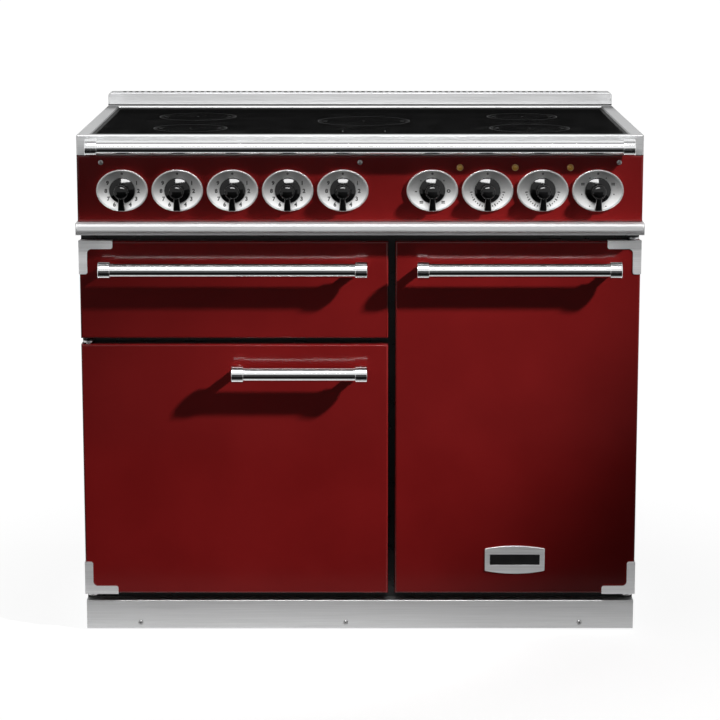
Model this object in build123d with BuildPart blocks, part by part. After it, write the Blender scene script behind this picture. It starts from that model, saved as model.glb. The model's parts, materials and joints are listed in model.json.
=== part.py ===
from build123d import *
import os

os.makedirs("parts", exist_ok=True)

# Overall size, in mm. X runs left to right seen from the front, Y into the cooker, Z up.
BODY_W = 991.0  # width over the doors, fascia and side panels
DEPTH = 608.0  # control fascia to the wall behind
HOB_Z = 905.0  # hob rim above the floor with the feet wound in

# Heights down the front, from the hob rim to the plinth
RIM_H = 35.0
FASCIA_H = 118.0
TRIM_H = 21.0
SHADOW_GAP = 15.0
GRILL_DOOR_H = 174.5
DOOR_GAP = 11.0
DOOR_FOOT_Z = 73.0  # lower edge of the oven doors
PLINTH_Z = 3.5
PLINTH_H = 53.5

# Widths across the front
LEFT_COLUMN_W = 545.5
COLUMN_GAP = 12.5
TRIM_OVERHANG = 2.0  # trim nosing past the body at each end

# Depths at the front, measured from the fascia or the door face
DOOR_SET = 15.0  # door face behind the fascia
TRIM_NOSE = 25.0  # nosing in front of the fascia
PLINTH_SET = 10.0  # plinth behind the door face
HANDLE_STANDOFF = 42.0  # handle axis in front of the door face
DOOR_T = 26.0  # folded depth of a door skin
SEAL_SPACE = 6.8  # door liner to front frame with the door shut

# Sheet, bars and fits
SHEET = 1.2
SKIN = 1.5
BAR_R = 12.0
CAP_R = 15.0
CAP_L = 21.0
POST_R = 10.0
SOCKET = 12.0  # bar end inside its cap
FIT = 0.05  # radial clearance of pins, spindles and sockets
EDGE_R = 4.0  # rounded front edges of doors and fascia

RIM_Z = HOB_Z - RIM_H
FASCIA_Z = RIM_Z - FASCIA_H
TRIM_Z = FASCIA_Z - TRIM_H
DOOR_TOP_Z = TRIM_Z - SHADOW_GAP
GRILL_Z = DOOR_TOP_Z - GRILL_DOOR_H
LEFT_TOP_Z = GRILL_Z - DOOR_GAP
PLINTH_TOP_Z = PLINTH_Z + PLINTH_H
BODY_X = BODY_W / 2
LEFT_X = -BODY_X + LEFT_COLUMN_W
RIGHT_X = LEFT_X + COLUMN_GAP
REACH = HANDLE_STANDOFF - DOOR_SET + CAP_R  # handles in front of the fascia
FASCIA_Y = REACH - (DEPTH + REACH) / 2
DOOR_Y = FASCIA_Y + DOOR_SET
REAR_Y = FASCIA_Y + DEPTH
LINER_Y = DOOR_Y + DOOR_T
FRAME_Y = LINER_Y + SHEET + SEAL_SPACE
HANDLE_Y = DOOR_Y - HANDLE_STANDOFF


def block(x0, x1, y0, y1, z0, z1, mode=Mode.ADD):
    """A box between two corners."""
    with Locations(((x0 + x1) / 2, (y0 + y1) / 2, (z0 + z1) / 2)):
        Box(x1 - x0, y1 - y0, z1 - z0, mode=mode)


def rod_x(x0, x1, y, z, r, mode=Mode.ADD):
    """A round bar along X."""
    with Locations(((x0 + x1) / 2, y, z)):
        Cylinder(r, x1 - x0, rotation=(0, 90, 0), mode=mode)


def rod_y(x, y0, y1, z, r, mode=Mode.ADD):
    """A round bar along Y."""
    with Locations((x, (y0 + y1) / 2, z)):
        Cylinder(r, y1 - y0, rotation=(90, 0, 0), mode=mode)


def rod_z(x, y, z0, z1, r, mode=Mode.ADD):
    """A round bar along Z."""
    with Locations((x, y, (z0 + z1) / 2)):
        Cylinder(r, z1 - z0, mode=mode)


def save(piece, label):
    """Name a piece and write its STEP file."""
    piece.part.label = label
    export_step(piece.part, f"parts/{label}.step")


# Base tray: a folded pan under the ovens, with a threaded boss for each front foot
# and a fork with its axle for each rear roller.
BASE_LIP = 25.0
FOOT_X = BODY_X - 66.0
FOOT_Y = FRAME_Y + 44.0
FOOT_STEM_R = 6.0
FOOT_BOSS_R = 12.0
FOOT_BOSS_H = 17.0
FOOT_PAD_R = 20.0
FOOT_PAD_H = 8.0
FOOT_STEM_TOP = 90.0
BACK_SET = 30.0  # back panel in from the wall
BACK_Y = REAR_Y - BACK_SET
ROLLER_R = 20.0
ROLLER_W = 20.0
ROLLER_Y = BACK_Y - 55.0
AXLE_R = 5.0
FORK_T = 3.0
FORK_GAP = 1.0
INNER_X = BODY_X - SHEET
INNER_Y = FRAME_Y + SHEET

with BuildPart() as base_tray:
    block(-INNER_X, INNER_X, INNER_Y, BACK_Y, PLINTH_TOP_Z, PLINTH_TOP_Z + BASE_LIP)
    block(-INNER_X + SHEET, INNER_X - SHEET, INNER_Y + SHEET, BACK_Y - SHEET,
          PLINTH_TOP_Z + SHEET, PLINTH_TOP_Z + BASE_LIP, Mode.SUBTRACT)
    for side in (-1, 1):
        rod_z(side * FOOT_X, FOOT_Y, PLINTH_TOP_Z - FOOT_BOSS_H, PLINTH_TOP_Z, FOOT_BOSS_R)
        rod_z(side * FOOT_X, FOOT_Y, PLINTH_TOP_Z - FOOT_BOSS_H, PLINTH_TOP_Z + SHEET,
              FOOT_STEM_R + FIT, Mode.SUBTRACT)
        cheek = ROLLER_W / 2 + FORK_GAP
        for x in (-cheek - FORK_T, cheek):
            left = side * FOOT_X + x
            block(left, left + FORK_T, ROLLER_Y - 14, ROLLER_Y + 14, ROLLER_R, PLINTH_TOP_Z)
            rod_x(left, left + FORK_T, ROLLER_Y, ROLLER_R, 14)
        rod_x(side * FOOT_X - cheek, side * FOOT_X + cheek, ROLLER_Y, ROLLER_R, AXLE_R)
save(base_tray, "base_tray")


def levelling_foot(x):
    """A pad on a threaded stem that winds up through the boss in the base tray."""
    with BuildPart() as foot:
        rod_z(x, FOOT_Y, 0, FOOT_PAD_H, FOOT_PAD_R)
        chamfer(foot.edges().group_by(Axis.Z)[-1], 2)
        rod_z(x, FOOT_Y, FOOT_PAD_H, FOOT_STEM_TOP, FOOT_STEM_R)
        with BuildSketch(Plane.XY.offset(FOOT_PAD_H)):
            with Locations((x, FOOT_Y)):
                RegularPolygon(10, 6)
        extrude(amount=7)
    return foot


save(levelling_foot(-FOOT_X), "levelling_foot_left")
save(levelling_foot(FOOT_X), "levelling_foot_right")

with BuildPart() as rear_rollers:
    for side in (-1, 1):
        rod_x(side * FOOT_X - ROLLER_W / 2, side * FOOT_X + ROLLER_W / 2, ROLLER_Y, ROLLER_R, ROLLER_R)
    fillet(rear_rollers.edges().filter_by(GeomType.CIRCLE), 2)
    for side in (-1, 1):
        rod_x(side * FOOT_X - ROLLER_W, side * FOOT_X + ROLLER_W, ROLLER_Y, ROLLER_R,
              AXLE_R + FIT, Mode.SUBTRACT)
save(rear_rollers, "rear_rollers")

# Front frame: the black plate that the doors close against, with a mouth for the grill
# and for each oven. The three cavities are boxes that butt against its back.
OVEN_MARGIN = 47.0  # oven mouth in from the door edge
SIDE_MARGIN = 52.0
GRILL_MARGIN = 28.0
CAVITY_D = 395.0
OVEN_Z = DOOR_FOOT_Z + OVEN_MARGIN
LEFT_MOUTH = (-BODY_X + SIDE_MARGIN, LEFT_X - SIDE_MARGIN, OVEN_Z, LEFT_TOP_Z - OVEN_MARGIN)
RIGHT_MOUTH = (RIGHT_X + SIDE_MARGIN, BODY_X - SIDE_MARGIN, OVEN_Z, DOOR_TOP_Z - OVEN_MARGIN)
GRILL_MOUTH = (-BODY_X + SIDE_MARGIN, LEFT_X - SIDE_MARGIN,
               GRILL_Z + GRILL_MARGIN, DOOR_TOP_Z - GRILL_MARGIN)
CAVITY_Y = FRAME_Y + SHEET
CAVITY_REAR_Y = CAVITY_Y + CAVITY_D

with BuildPart() as front_frame:
    block(-INNER_X, INNER_X, FRAME_Y, FRAME_Y + SHEET, PLINTH_TOP_Z, FASCIA_Z)
    for x0, x1, z0, z1 in (LEFT_MOUTH, RIGHT_MOUTH, GRILL_MOUTH):
        block(x0, x1, FRAME_Y, FRAME_Y + SHEET, z0, z1, Mode.SUBTRACT)
save(front_frame, "front_frame")

# Where things go through the back wall of a cavity
SHAFT_R = 4.0
SHAFT_HOLE_R = 9.0
ELEMENT_R = 4.0
ELEMENT_LEAD = 22.0  # element tail behind the cavity wall
RING_R = 88.0
RING_LEAD_X = 14.0
ELEMENT_DROP = 20.0  # element axis under the cavity roof
ELEMENT_INSET = 60.0


def middle(mouth):
    """Centre of a mouth in X and Z."""
    return (mouth[0] + mouth[1]) / 2, (mouth[2] + mouth[3]) / 2


def cavity(mouth, fan, roof):
    """An enamelled box open at the front, drilled for the fan shaft and element tails."""
    x0, x1, z0, z1 = mouth
    x, z = middle(mouth)
    with BuildPart() as box:
        block(x0 - SHEET, x1 + SHEET, CAVITY_Y, CAVITY_REAR_Y + SHEET, z0 - SHEET, z1 + SHEET)
        block(x0, x1, CAVITY_Y, CAVITY_REAR_Y, z0, z1, Mode.SUBTRACT)
        back = (CAVITY_REAR_Y, CAVITY_REAR_Y + SHEET)
        if fan:
            rod_y(x, *back, z, SHAFT_HOLE_R, Mode.SUBTRACT)
            for side in (-1, 1):
                rod_y(x + side * RING_LEAD_X, *back, z - RING_R, ELEMENT_R + FIT, Mode.SUBTRACT)
        if roof:
            for end in (x0 + ELEMENT_INSET, x1 - ELEMENT_INSET):
                rod_y(end, *back, z1 - ELEMENT_DROP, ELEMENT_R + FIT, Mode.SUBTRACT)
    return box


save(cavity(LEFT_MOUTH, True, True), "left_oven_cavity")
save(cavity(RIGHT_MOUTH, True, False), "right_oven_cavity")
save(cavity(GRILL_MOUTH, False, True), "grill_cavity")

# Heating elements: a looped tube under the grill roof and the left oven roof, and a ring
# round each oven fan. The tails go out through the back wall.
LOOP_BEND = 24.0


def roof_element(mouth):
    """One tube bent into four runs, with both tails through the back wall."""
    x0, x1 = mouth[0] + ELEMENT_INSET, mouth[1] - ELEMENT_INSET
    step = (x1 - x0) / 3
    tail = CAVITY_REAR_Y + SHEET + ELEMENT_LEAD
    near, far = CAVITY_Y + 60, CAVITY_REAR_Y - 110
    z = mouth[3] - ELEMENT_DROP
    with BuildPart() as tube:
        with BuildLine() as path:
            FilletPolyline((x0, tail, z), (x0, near, z), (x0 + step, near, z), (x0 + step, far, z),
                           (x1 - step, far, z), (x1 - step, near, z), (x1, near, z), (x1, tail, z),
                           radius=LOOP_BEND)
        with BuildSketch(Plane(origin=(x0, tail, z), z_dir=(0, -1, 0))):
            Circle(ELEMENT_R)
        sweep(path=path.line)
    return tube


COVER_D = 48.0  # fan cover in front of the cavity back wall
RING_Y = CAVITY_REAR_Y - COVER_D / 2

with BuildPart() as heating_elements:
    for mouth in (LEFT_MOUTH, GRILL_MOUTH):
        add(roof_element(mouth).part)
    for mouth in (LEFT_MOUTH, RIGHT_MOUTH):
        x, z = middle(mouth)
        with Locations((x, RING_Y, z)):
            Torus(RING_R, ELEMENT_R, rotation=(90, 0, 0))
        for side in (-1, 1):
            rod_y(x + side * RING_LEAD_X, RING_Y, CAVITY_REAR_Y + SHEET + ELEMENT_LEAD,
                  z - RING_R, ELEMENT_R)
save(heating_elements, "heating_elements")

# Oven fans: a motor behind each cavity, a paddle wheel on its shaft inside the cavity,
# and a pressed cover with a round intake and side outlets in front of the wheel.
MOTOR_R = 42.0
MOTOR_L = 62.0
WHEEL_R = 68.0
WHEEL_T = 24.0
WHEEL_GAP = 9.0  # wheel to back wall
COVER_W = 240.0
COVER_H = 250.0
INTAKE_PITCH = 13.0
INTAKE_R = 4.2

with BuildPart() as fan_motors:
    for mouth in (LEFT_MOUTH, RIGHT_MOUTH):
        x, z = middle(mouth)
        front = CAVITY_REAR_Y + SHEET
        block(x - MOTOR_R - 9, x + MOTOR_R + 9, front, front + 3, z - 30, z + 30)
        rod_y(x, front, front + MOTOR_L, z, MOTOR_R)
        rod_y(x, front, front + MOTOR_L - 8, z, SHAFT_R + FIT, Mode.SUBTRACT)
save(fan_motors, "fan_motors")


def fan_wheel(mouth):
    """Hub, back disc, twelve paddles and the motor shaft in one piece."""
    x, z = middle(mouth)
    rear = CAVITY_REAR_Y - WHEEL_GAP
    with BuildPart() as wheel:
        rod_y(x, rear - 1.5, rear, z, WHEEL_R)
        rod_y(x, rear - WHEEL_T, rear, z, 12)
        rod_y(x, rear - WHEEL_T + 4, CAVITY_REAR_Y + SHEET + MOTOR_L - 12, z, SHAFT_R)
        for turn in range(12):
            with Locations((x, rear - WHEEL_T / 2, z)):
                with Locations(Location((0, 0, 0), (0, turn * 30, 0))):
                    with Locations((WHEEL_R * 0.7, 0, 0)):
                        Box(WHEEL_R * 0.56, WHEEL_T, 1.5)
    return wheel


save(fan_wheel(LEFT_MOUTH), "left_oven_fan")
save(fan_wheel(RIGHT_MOUTH), "right_oven_fan")

with BuildPart() as fan_covers:
    for mouth in (LEFT_MOUTH, RIGHT_MOUTH):
        x, z = middle(mouth)
        front = CAVITY_REAR_Y - COVER_D
        w, h = COVER_W / 2, COVER_H / 2
        block(x - w, x + w, front, CAVITY_REAR_Y, z - h, z + h)
        block(x - w + 1, x + w - 1, front + 1, CAVITY_REAR_Y, z - h + 1, z + h - 1, Mode.SUBTRACT)
        with Locations((x, front, z)):
            with Locations(Plane.XZ):
                with HexLocations(INTAKE_PITCH / 2, 7, 7):
                    Cylinder(INTAKE_R, 6, mode=Mode.SUBTRACT)
        for side in (-1, 1):
            for row in range(-4, 5):
                block(x + side * w - 3, x + side * w + 3, front + 10, front + 34,
                      z + row * 24 - 4, z + row * 24 + 4, Mode.SUBTRACT)
save(fan_covers, "fan_covers")

# Shelf ladders of bent wire on both side walls of each oven, and an angle runner on each
# side of the grill. The shelves and the grill pan sit on them.
WIRE_R = 2.5
POLE_R = 3.0
SHELF_R = 3.0
CROSS_R = 2.6
GRID_R = 1.8
GRID_PITCH = 27.0
RUNG_PITCH = 55.0
RUNG_FIRST = 52.0  # first rung over the oven floor
RUNG_X = POLE_R + 4.0  # rung axis off the wall
SHELF_STEP = 3.0  # shelf edge inside the rung
TOUCH = 0.05  # a wire resting on a wire, or against a wall
LADDER_Y0 = CAVITY_Y + 22.0
LADDER_Y1 = CAVITY_REAR_Y - COVER_D - 12.0
LEFT_RUNGS = 5
RIGHT_RUNGS = 9
RUNNER_Z = GRILL_MOUTH[2] + 42.0  # top of the grill runner
RUNNER_W = 16.0
RUNNER_T = 2.0


def ladder(wall, inward, floor, rungs):
    """Two poles and their rungs against one side wall; inward is +1 or -1."""
    pole = wall + inward * (POLE_R + TOUCH)
    rung = wall + inward * RUNG_X
    top = floor + RUNG_FIRST + (rungs - 1) * RUNG_PITCH + 20
    for y in (LADDER_Y0 + 15, LADDER_Y1 - 15):
        rod_z(pole, y, floor + 20, top, POLE_R)
    for n in range(rungs):
        rod_y(rung, LADDER_Y0, LADDER_Y1, floor + RUNG_FIRST + n * RUNG_PITCH, WIRE_R)


with BuildPart() as shelf_runners:
    ladder(LEFT_MOUTH[0], 1, OVEN_Z, LEFT_RUNGS)
    ladder(LEFT_MOUTH[1], -1, OVEN_Z, LEFT_RUNGS)
    ladder(RIGHT_MOUTH[0], 1, OVEN_Z, RIGHT_RUNGS)
    ladder(RIGHT_MOUTH[1], -1, OVEN_Z, RIGHT_RUNGS)
    for wall, inward in ((GRILL_MOUTH[0], 1), (GRILL_MOUTH[1], -1)):
        near, far = sorted((wall, wall + inward * RUNNER_W))
        block(near, far, LADDER_Y0, LADDER_Y1, RUNNER_Z - RUNNER_T, RUNNER_Z)
        near, far = sorted((wall, wall + inward * RUNNER_T))
        block(near, far, LADDER_Y0, LADDER_Y1, RUNNER_Z - 14, RUNNER_Z)
save(shelf_runners, "shelf_runners")


def wire_shelf(mouth, rung):
    """A wire grid that rests on one pair of rungs."""
    x0, x1 = mouth[0] + RUNG_X + SHELF_STEP, mouth[1] - RUNG_X - SHELF_STEP
    y0, y1 = LADDER_Y0 + 6, LADDER_Y1 - 2
    lift = ((WIRE_R + SHELF_R) ** 2 - SHELF_STEP ** 2) ** 0.5
    z = OVEN_Z + RUNG_FIRST + rung * RUNG_PITCH + lift + TOUCH
    for x in (x0, x1):
        rod_y(x, y0 - SHELF_R, y1 + SHELF_R, z, SHELF_R)
    for y in (y0, y1, (y0 + y1) / 2):
        rod_x(x0, x1, y, z, CROSS_R)
    count = int((x1 - x0) // GRID_PITCH)
    for n in range(1, count):
        rod_y(x0 + n * (x1 - x0) / count, y0, y1, z + 1.5, GRID_R)


with BuildPart() as oven_shelves:
    wire_shelf(LEFT_MOUTH, 0)
    wire_shelf(LEFT_MOUTH, 2)
    wire_shelf(RIGHT_MOUTH, 1)
    wire_shelf(RIGHT_MOUTH, 5)
save(oven_shelves, "oven_shelves")

# Grill pan: a shallow pressed tray whose rim rides on the runners, with a wire trivet in it
PAN_RIM_W = 12.0
PAN_H = 32.0
PAN_SIDE = 2.0  # pan rim to cavity wall
PAN_X = (GRILL_MOUTH[0] + RUNNER_T + PAN_SIDE, GRILL_MOUTH[1] - RUNNER_T - PAN_SIDE)
PAN_Y = (LADDER_Y0 - 4, LADDER_Y1 - 20)
PAN_TOP = RUNNER_Z + SHEET
TRIVET_LEG = 14.0

with BuildPart() as grill_pan:
    inset = RUNNER_W - RUNNER_T - PAN_SIDE + 1
    block(PAN_X[0], PAN_X[1], PAN_Y[0], PAN_Y[1], RUNNER_Z, PAN_TOP)
    block(PAN_X[0] + inset, PAN_X[1] - inset, PAN_Y[0] + inset, PAN_Y[1] - inset,
          PAN_TOP - PAN_H, PAN_TOP)
    fillet(grill_pan.edges().group_by(Axis.Z)[0], 5)
    block(PAN_X[0] + inset + SHEET, PAN_X[1] - inset - SHEET, PAN_Y[0] + inset + SHEET,
          PAN_Y[1] - inset - SHEET, PAN_TOP - PAN_H + SHEET, PAN_TOP, Mode.SUBTRACT)
    tx0, tx1 = PAN_X[0] + inset + 12, PAN_X[1] - inset - 12
    ty0, ty1 = PAN_Y[0] + inset + 12, PAN_Y[1] - inset - 12
    tz = PAN_TOP - PAN_H + SHEET + TRIVET_LEG
    for y in (ty0, ty1):
        rod_x(tx0, tx1, y, tz, WIRE_R)
        for x in (tx0 + 9, tx1 - 9):
            rod_z(x, y, tz - TRIVET_LEG, tz, GRID_R)
    for n in range(17):
        rod_y(tx0 + 4 + n * (tx1 - tx0 - 8) / 16, ty0 - 4, ty1 + 4, tz + 1, 2.0)
save(grill_pan, "grill_pan")

# Door seals round the two oven mouths, clipped to the front frame
SEAL_W = 7.0
SEAL_OUT = 7.0  # seal outside the mouth edge
SEAL_EASE = 0.4  # seal to liner with the door shut

with BuildPart() as door_seals:
    for x0, x1, z0, z1 in (LEFT_MOUTH, RIGHT_MOUTH):
        near, far = FRAME_Y - SEAL_SPACE + SEAL_EASE, FRAME_Y
        out = SEAL_OUT + SEAL_W
        block(x0 - out, x1 + out, near, far, z0 - out, z1 + out)
        block(x0 - SEAL_OUT, x1 + SEAL_OUT, near, far, z0 - SEAL_OUT, z1 + SEAL_OUT, Mode.SUBTRACT)
    fillet(door_seals.edges().filter_by(Axis.Y), 3)
    fillet(door_seals.edges().group_by(Axis.Y)[0], 2)
save(door_seals, "door_seals")

# Side panels, back panel and mains inlet box
SIDE_REAR_Y = REAR_Y - 20.0
INLET_X = BODY_X - 155.5
INLET_Z = 150.0
INLET_W = 110.0
INLET_H = 90.0
INLET_D = 27.0
GLAND_R = 16.0
GLAND_BORE_R = 9.0
GLAND_H = 14.0
VENT_W = 60.0
VENT_H = 5.0


with BuildPart() as side_panels:
    for near, far in ((-BODY_X, -INNER_X), (INNER_X, BODY_X)):
        block(near, far, FRAME_Y, SIDE_REAR_Y, PLINTH_TOP_Z, RIM_Z)
save(side_panels, "side_panels")

with BuildPart() as back_panel:
    block(-INNER_X, INNER_X, BACK_Y, BACK_Y + SHEET, PLINTH_TOP_Z, RIM_Z)
    with Locations((0, BACK_Y, FASCIA_Z)):
        with Locations(Plane.XZ):
            with GridLocations(VENT_W * 1.4, VENT_H * 3, 9, 5):
                Box(VENT_W, VENT_H, 6, mode=Mode.SUBTRACT)
save(back_panel, "back_panel")

with BuildPart() as mains_inlet:
    y0 = BACK_Y + SHEET
    block(INLET_X - INLET_W / 2, INLET_X + INLET_W / 2, y0, y0 + INLET_D, INLET_Z, INLET_Z + INLET_H)
    fillet(mains_inlet.edges().group_by(Axis.Y)[-1], 4)
    block(INLET_X - INLET_W / 2 + 2, INLET_X + INLET_W / 2 - 2, y0, y0 + INLET_D - 2,
          INLET_Z + 2, INLET_Z + INLET_H - 2, Mode.SUBTRACT)
    gland_y = y0 + INLET_D / 2
    with Locations((INLET_X, gland_y, INLET_Z - GLAND_H / 2 + 1)):
        Cylinder(GLAND_R * 0.78, GLAND_H + 2)
    rod_z(INLET_X, gland_y, INLET_Z - GLAND_H - 1, INLET_Z + 3, GLAND_BORE_R, Mode.SUBTRACT)
save(mains_inlet, "mains_inlet")

# Plinth: a steel kick strip with short returns
with BuildPart() as plinth:
    py = DOOR_Y + PLINTH_SET
    block(-BODY_X, BODY_X, py, FRAME_Y, PLINTH_Z, PLINTH_TOP_Z)
    fillet(plinth.edges().group_by(Axis.Y)[0].filter_by(Axis.X), 2)
    block(-BODY_X + SHEET, BODY_X - SHEET, py + SHEET, FRAME_Y, PLINTH_Z, PLINTH_TOP_Z - SHEET, Mode.SUBTRACT)
    for x in (-398, -26, 398):
        rod_y(x, py, py + SHEET, 15, 2 + FIT, Mode.SUBTRACT)
save(plinth, "plinth")

# Fascia trim: the bull-nosed steel strip under the control fascia
with BuildPart() as fascia_trim:
    tx = BODY_X + TRIM_OVERHANG
    ty = FASCIA_Y - TRIM_NOSE
    block(-tx, tx, ty, FRAME_Y, TRIM_Z, FASCIA_Z)
    block(-tx, tx, ty, ty + 8, TRIM_Z, TRIM_Z + 5, Mode.SUBTRACT)
    nose = fascia_trim.faces().sort_by(Axis.Y)[0]
    fillet(nose.edges(), 5)
    offset(amount=-SHEET, openings=fascia_trim.faces().sort_by(Axis.Y)[-1])
save(fascia_trim, "fascia_trim")

# Control fascia: the enamelled panel with nine spindle holes, three lamps and three screws
KNOB_PITCH = 96.5
KNOB_END = BODY_X - 79.5  # outermost knob from the middle
KNOB_Z = FASCIA_Z + 56.0
LAMP_Z = KNOB_Z + 40.0
FASCIA_SCREW_X = BODY_X - 42.5
FASCIA_SCREW_Z = RIM_Z - 13.0
SPINDLE_R = 3.0
SPINDLE_HOLE_R = 5.0
LAMP_R = 5.0
SCREW_R = 2.0
SCREW_HEAD_R = 4.5
HOB_KNOBS = [-KNOB_END + n * KNOB_PITCH for n in range(5)]
OVEN_KNOBS = [KNOB_END - n * KNOB_PITCH for n in (3, 2, 1, 0)]
KNOB_XS = HOB_KNOBS + OVEN_KNOBS
LAMP_XS = [KNOB_END - (n + 0.5) * KNOB_PITCH for n in (2, 1, 0)]
SCREW_XS = (-FASCIA_SCREW_X, 0, FASCIA_SCREW_X)

with BuildPart() as control_fascia:
    block(-BODY_X, BODY_X, FASCIA_Y, FRAME_Y, FASCIA_Z, RIM_Z)
    fillet(control_fascia.faces().sort_by(Axis.Y)[0].edges(), EDGE_R)
    offset(amount=-SKIN, openings=control_fascia.faces().sort_by(Axis.Y)[-1])
    for x in KNOB_XS:
        rod_y(x, FASCIA_Y - 1, FASCIA_Y + SKIN + 1, KNOB_Z, SPINDLE_HOLE_R, Mode.SUBTRACT)
    for x in LAMP_XS:
        rod_y(x, FASCIA_Y - 1, FASCIA_Y + SKIN + 1, LAMP_Z, LAMP_R + FIT, Mode.SUBTRACT)
    for x in SCREW_XS:
        rod_y(x, FASCIA_Y - 1, FASCIA_Y + SKIN + 1, FASCIA_SCREW_Z, SCREW_R + FIT, Mode.SUBTRACT)
save(control_fascia, "control_fascia")

with BuildPart() as neon_lamps:
    for x in LAMP_XS:
        rod_y(x, FASCIA_Y - 3.2, FASCIA_Y, LAMP_Z, LAMP_R + 1)
    fillet(neon_lamps.edges().group_by(Axis.Y)[0], 2.4)
    for x in LAMP_XS:
        rod_y(x, FASCIA_Y, FASCIA_Y + 20, LAMP_Z, LAMP_R)
save(neon_lamps, "neon_lamps")


def screws(xs, y, z):
    """Domed screws whose heads sit on the face at y."""
    for x in xs:
        rod_y(x, y, y + 14, z, SCREW_R)
        rod_y(x, y - 2.4, y, z, SCREW_HEAD_R)


with BuildPart() as front_screws:
    screws(SCREW_XS, FASCIA_Y, FASCIA_SCREW_Z)
    screws((-398, -26, 398), DOOR_Y + PLINTH_SET, 15)
    fillet(front_screws.edges().filter_by(GeomType.CIRCLE).filter_by(
        lambda e: abs(e.radius - SCREW_HEAD_R) < 0.01 and abs(
            (e.arc_center.Y - FASCIA_Y + 2.4) * (e.arc_center.Y - DOOR_Y - PLINTH_SET + 2.4)) < 0.01), 1.6)
save(front_screws, "front_screws")

# Dial plates: oval steel dishes with a rolled edge, one behind each knob
DIAL_A = 45.0
DIAL_B = 36.5
DIAL_T = 6.0
DISH_T = 1.6  # thickness in the middle of the dish
DISH_R = 25.0  # flat middle of the dish
DIAL_EDGE = 2.5

with BuildPart() as dial_plates:
    for x in KNOB_XS:
        with BuildSketch(Plane.XZ.offset(-FASCIA_Y)):
            with Locations((x, KNOB_Z)):
                Ellipse(DIAL_A, DIAL_B)
        extrude(amount=DIAL_T)
    fillet(dial_plates.edges().group_by(Axis.Y)[0], 1)
    for x in KNOB_XS:
        with BuildSketch(Plane.XZ.offset(-FASCIA_Y + DIAL_T)):
            with Locations((x, KNOB_Z)):
                Ellipse(DIAL_A - DIAL_EDGE, DIAL_B - DIAL_EDGE)
        with BuildSketch(Plane.XZ.offset(-FASCIA_Y + DISH_T)):
            with Locations((x, KNOB_Z)):
                Ellipse(DISH_R + 2, DISH_R)
        loft(mode=Mode.SUBTRACT)
        rod_y(x, FASCIA_Y - DIAL_T, FASCIA_Y + 1, KNOB_Z, SPINDLE_HOLE_R, Mode.SUBTRACT)
save(dial_plates, "dial_plates")

# Rotary switches and thermostats on the back of the fascia
SWITCH_W = 40.0
SWITCH_D = 32.0
SPINDLE_IN = 16.0  # spindle inside its switch
SWITCH_Y = FASCIA_Y + SKIN

with BuildPart() as rotary_switches:
    for x in KNOB_XS:
        block(x - SWITCH_W / 2, x + SWITCH_W / 2, SWITCH_Y, SWITCH_Y + SWITCH_D,
              KNOB_Z - SWITCH_W / 2, KNOB_Z + SWITCH_W / 2)
        rod_y(x, SWITCH_Y, SWITCH_Y + SPINDLE_IN + 1, KNOB_Z, SPINDLE_R + FIT, Mode.SUBTRACT)
save(rotary_switches, "rotary_switches")

# Knobs: a wide skirt, a round boss and a flared lever that hangs down at off.
# Each carries the spindle that turns in its switch.
SKIRT_R = 22.5
SKIRT_GAP = 1.4  # skirt to the middle of the dish
KNOB_H = 36.0  # tip in front of the fascia
BOSS_R = 12.5
LEVER_R = 33.5
LEVER_ROOT_W = 9.0
LEVER_TIP_W = 12.5
SPINDLE_OUT = 24.0


def knob(x):
    """One moulded knob at x and its spindle."""
    back = DISH_T + SKIRT_GAP
    with BuildPart() as turned:
        with BuildSketch(Plane.YZ.offset(x)):
            with BuildLine():
                outline = Polyline((FASCIA_Y - back, KNOB_Z), (FASCIA_Y - back, KNOB_Z + SKIRT_R),
                                   (FASCIA_Y - back - 4, KNOB_Z + SKIRT_R),
                                   (FASCIA_Y - back - 9, KNOB_Z + BOSS_R + 3),
                                   (FASCIA_Y - back - 13, KNOB_Z + BOSS_R),
                                   (FASCIA_Y - KNOB_H + 4, KNOB_Z + BOSS_R))
                Spline(outline @ 1, (FASCIA_Y - KNOB_H + 1.2, KNOB_Z + BOSS_R - 4),
                       (FASCIA_Y - KNOB_H, KNOB_Z), tangents=((-1, 0), (0, -1)))
                Line((FASCIA_Y - KNOB_H, KNOB_Z), (FASCIA_Y - back, KNOB_Z))
            make_face()
        revolve(axis=Axis((x, 0, KNOB_Z), (0, 1, 0)))
        with BuildSketch(Plane.XZ.offset(-FASCIA_Y + back + 6)):
            with Locations((x, KNOB_Z)):
                Polygon((-LEVER_ROOT_W / 2, 0), (LEVER_ROOT_W / 2, 0), (LEVER_TIP_W / 2, -LEVER_R),
                        (-LEVER_TIP_W / 2, -LEVER_R), align=None)
        extrude(amount=16)
        tip = turned.faces().sort_by(Axis.Z)[0]
        fillet(tip.edges(), 3)
        rod_y(x, FASCIA_Y - SPINDLE_OUT - 1, FASCIA_Y, KNOB_Z, SPINDLE_R + FIT, Mode.SUBTRACT)
        rod_y(x, FASCIA_Y - SPINDLE_OUT, SWITCH_Y + SPINDLE_IN, KNOB_Z, SPINDLE_R)
    return turned


HOB_NAMES = ("front_left", "rear_left", "centre", "rear_right", "front_right")
OVEN_NAMES = ("oven_function", "left_oven", "right_oven", "grill")
for x, place in zip(HOB_KNOBS, HOB_NAMES):
    save(knob(x), f"hob_knob_{place}")
for x, place in zip(OVEN_KNOBS, OVEN_NAMES):
    save(knob(x), f"{place}_knob")

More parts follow.
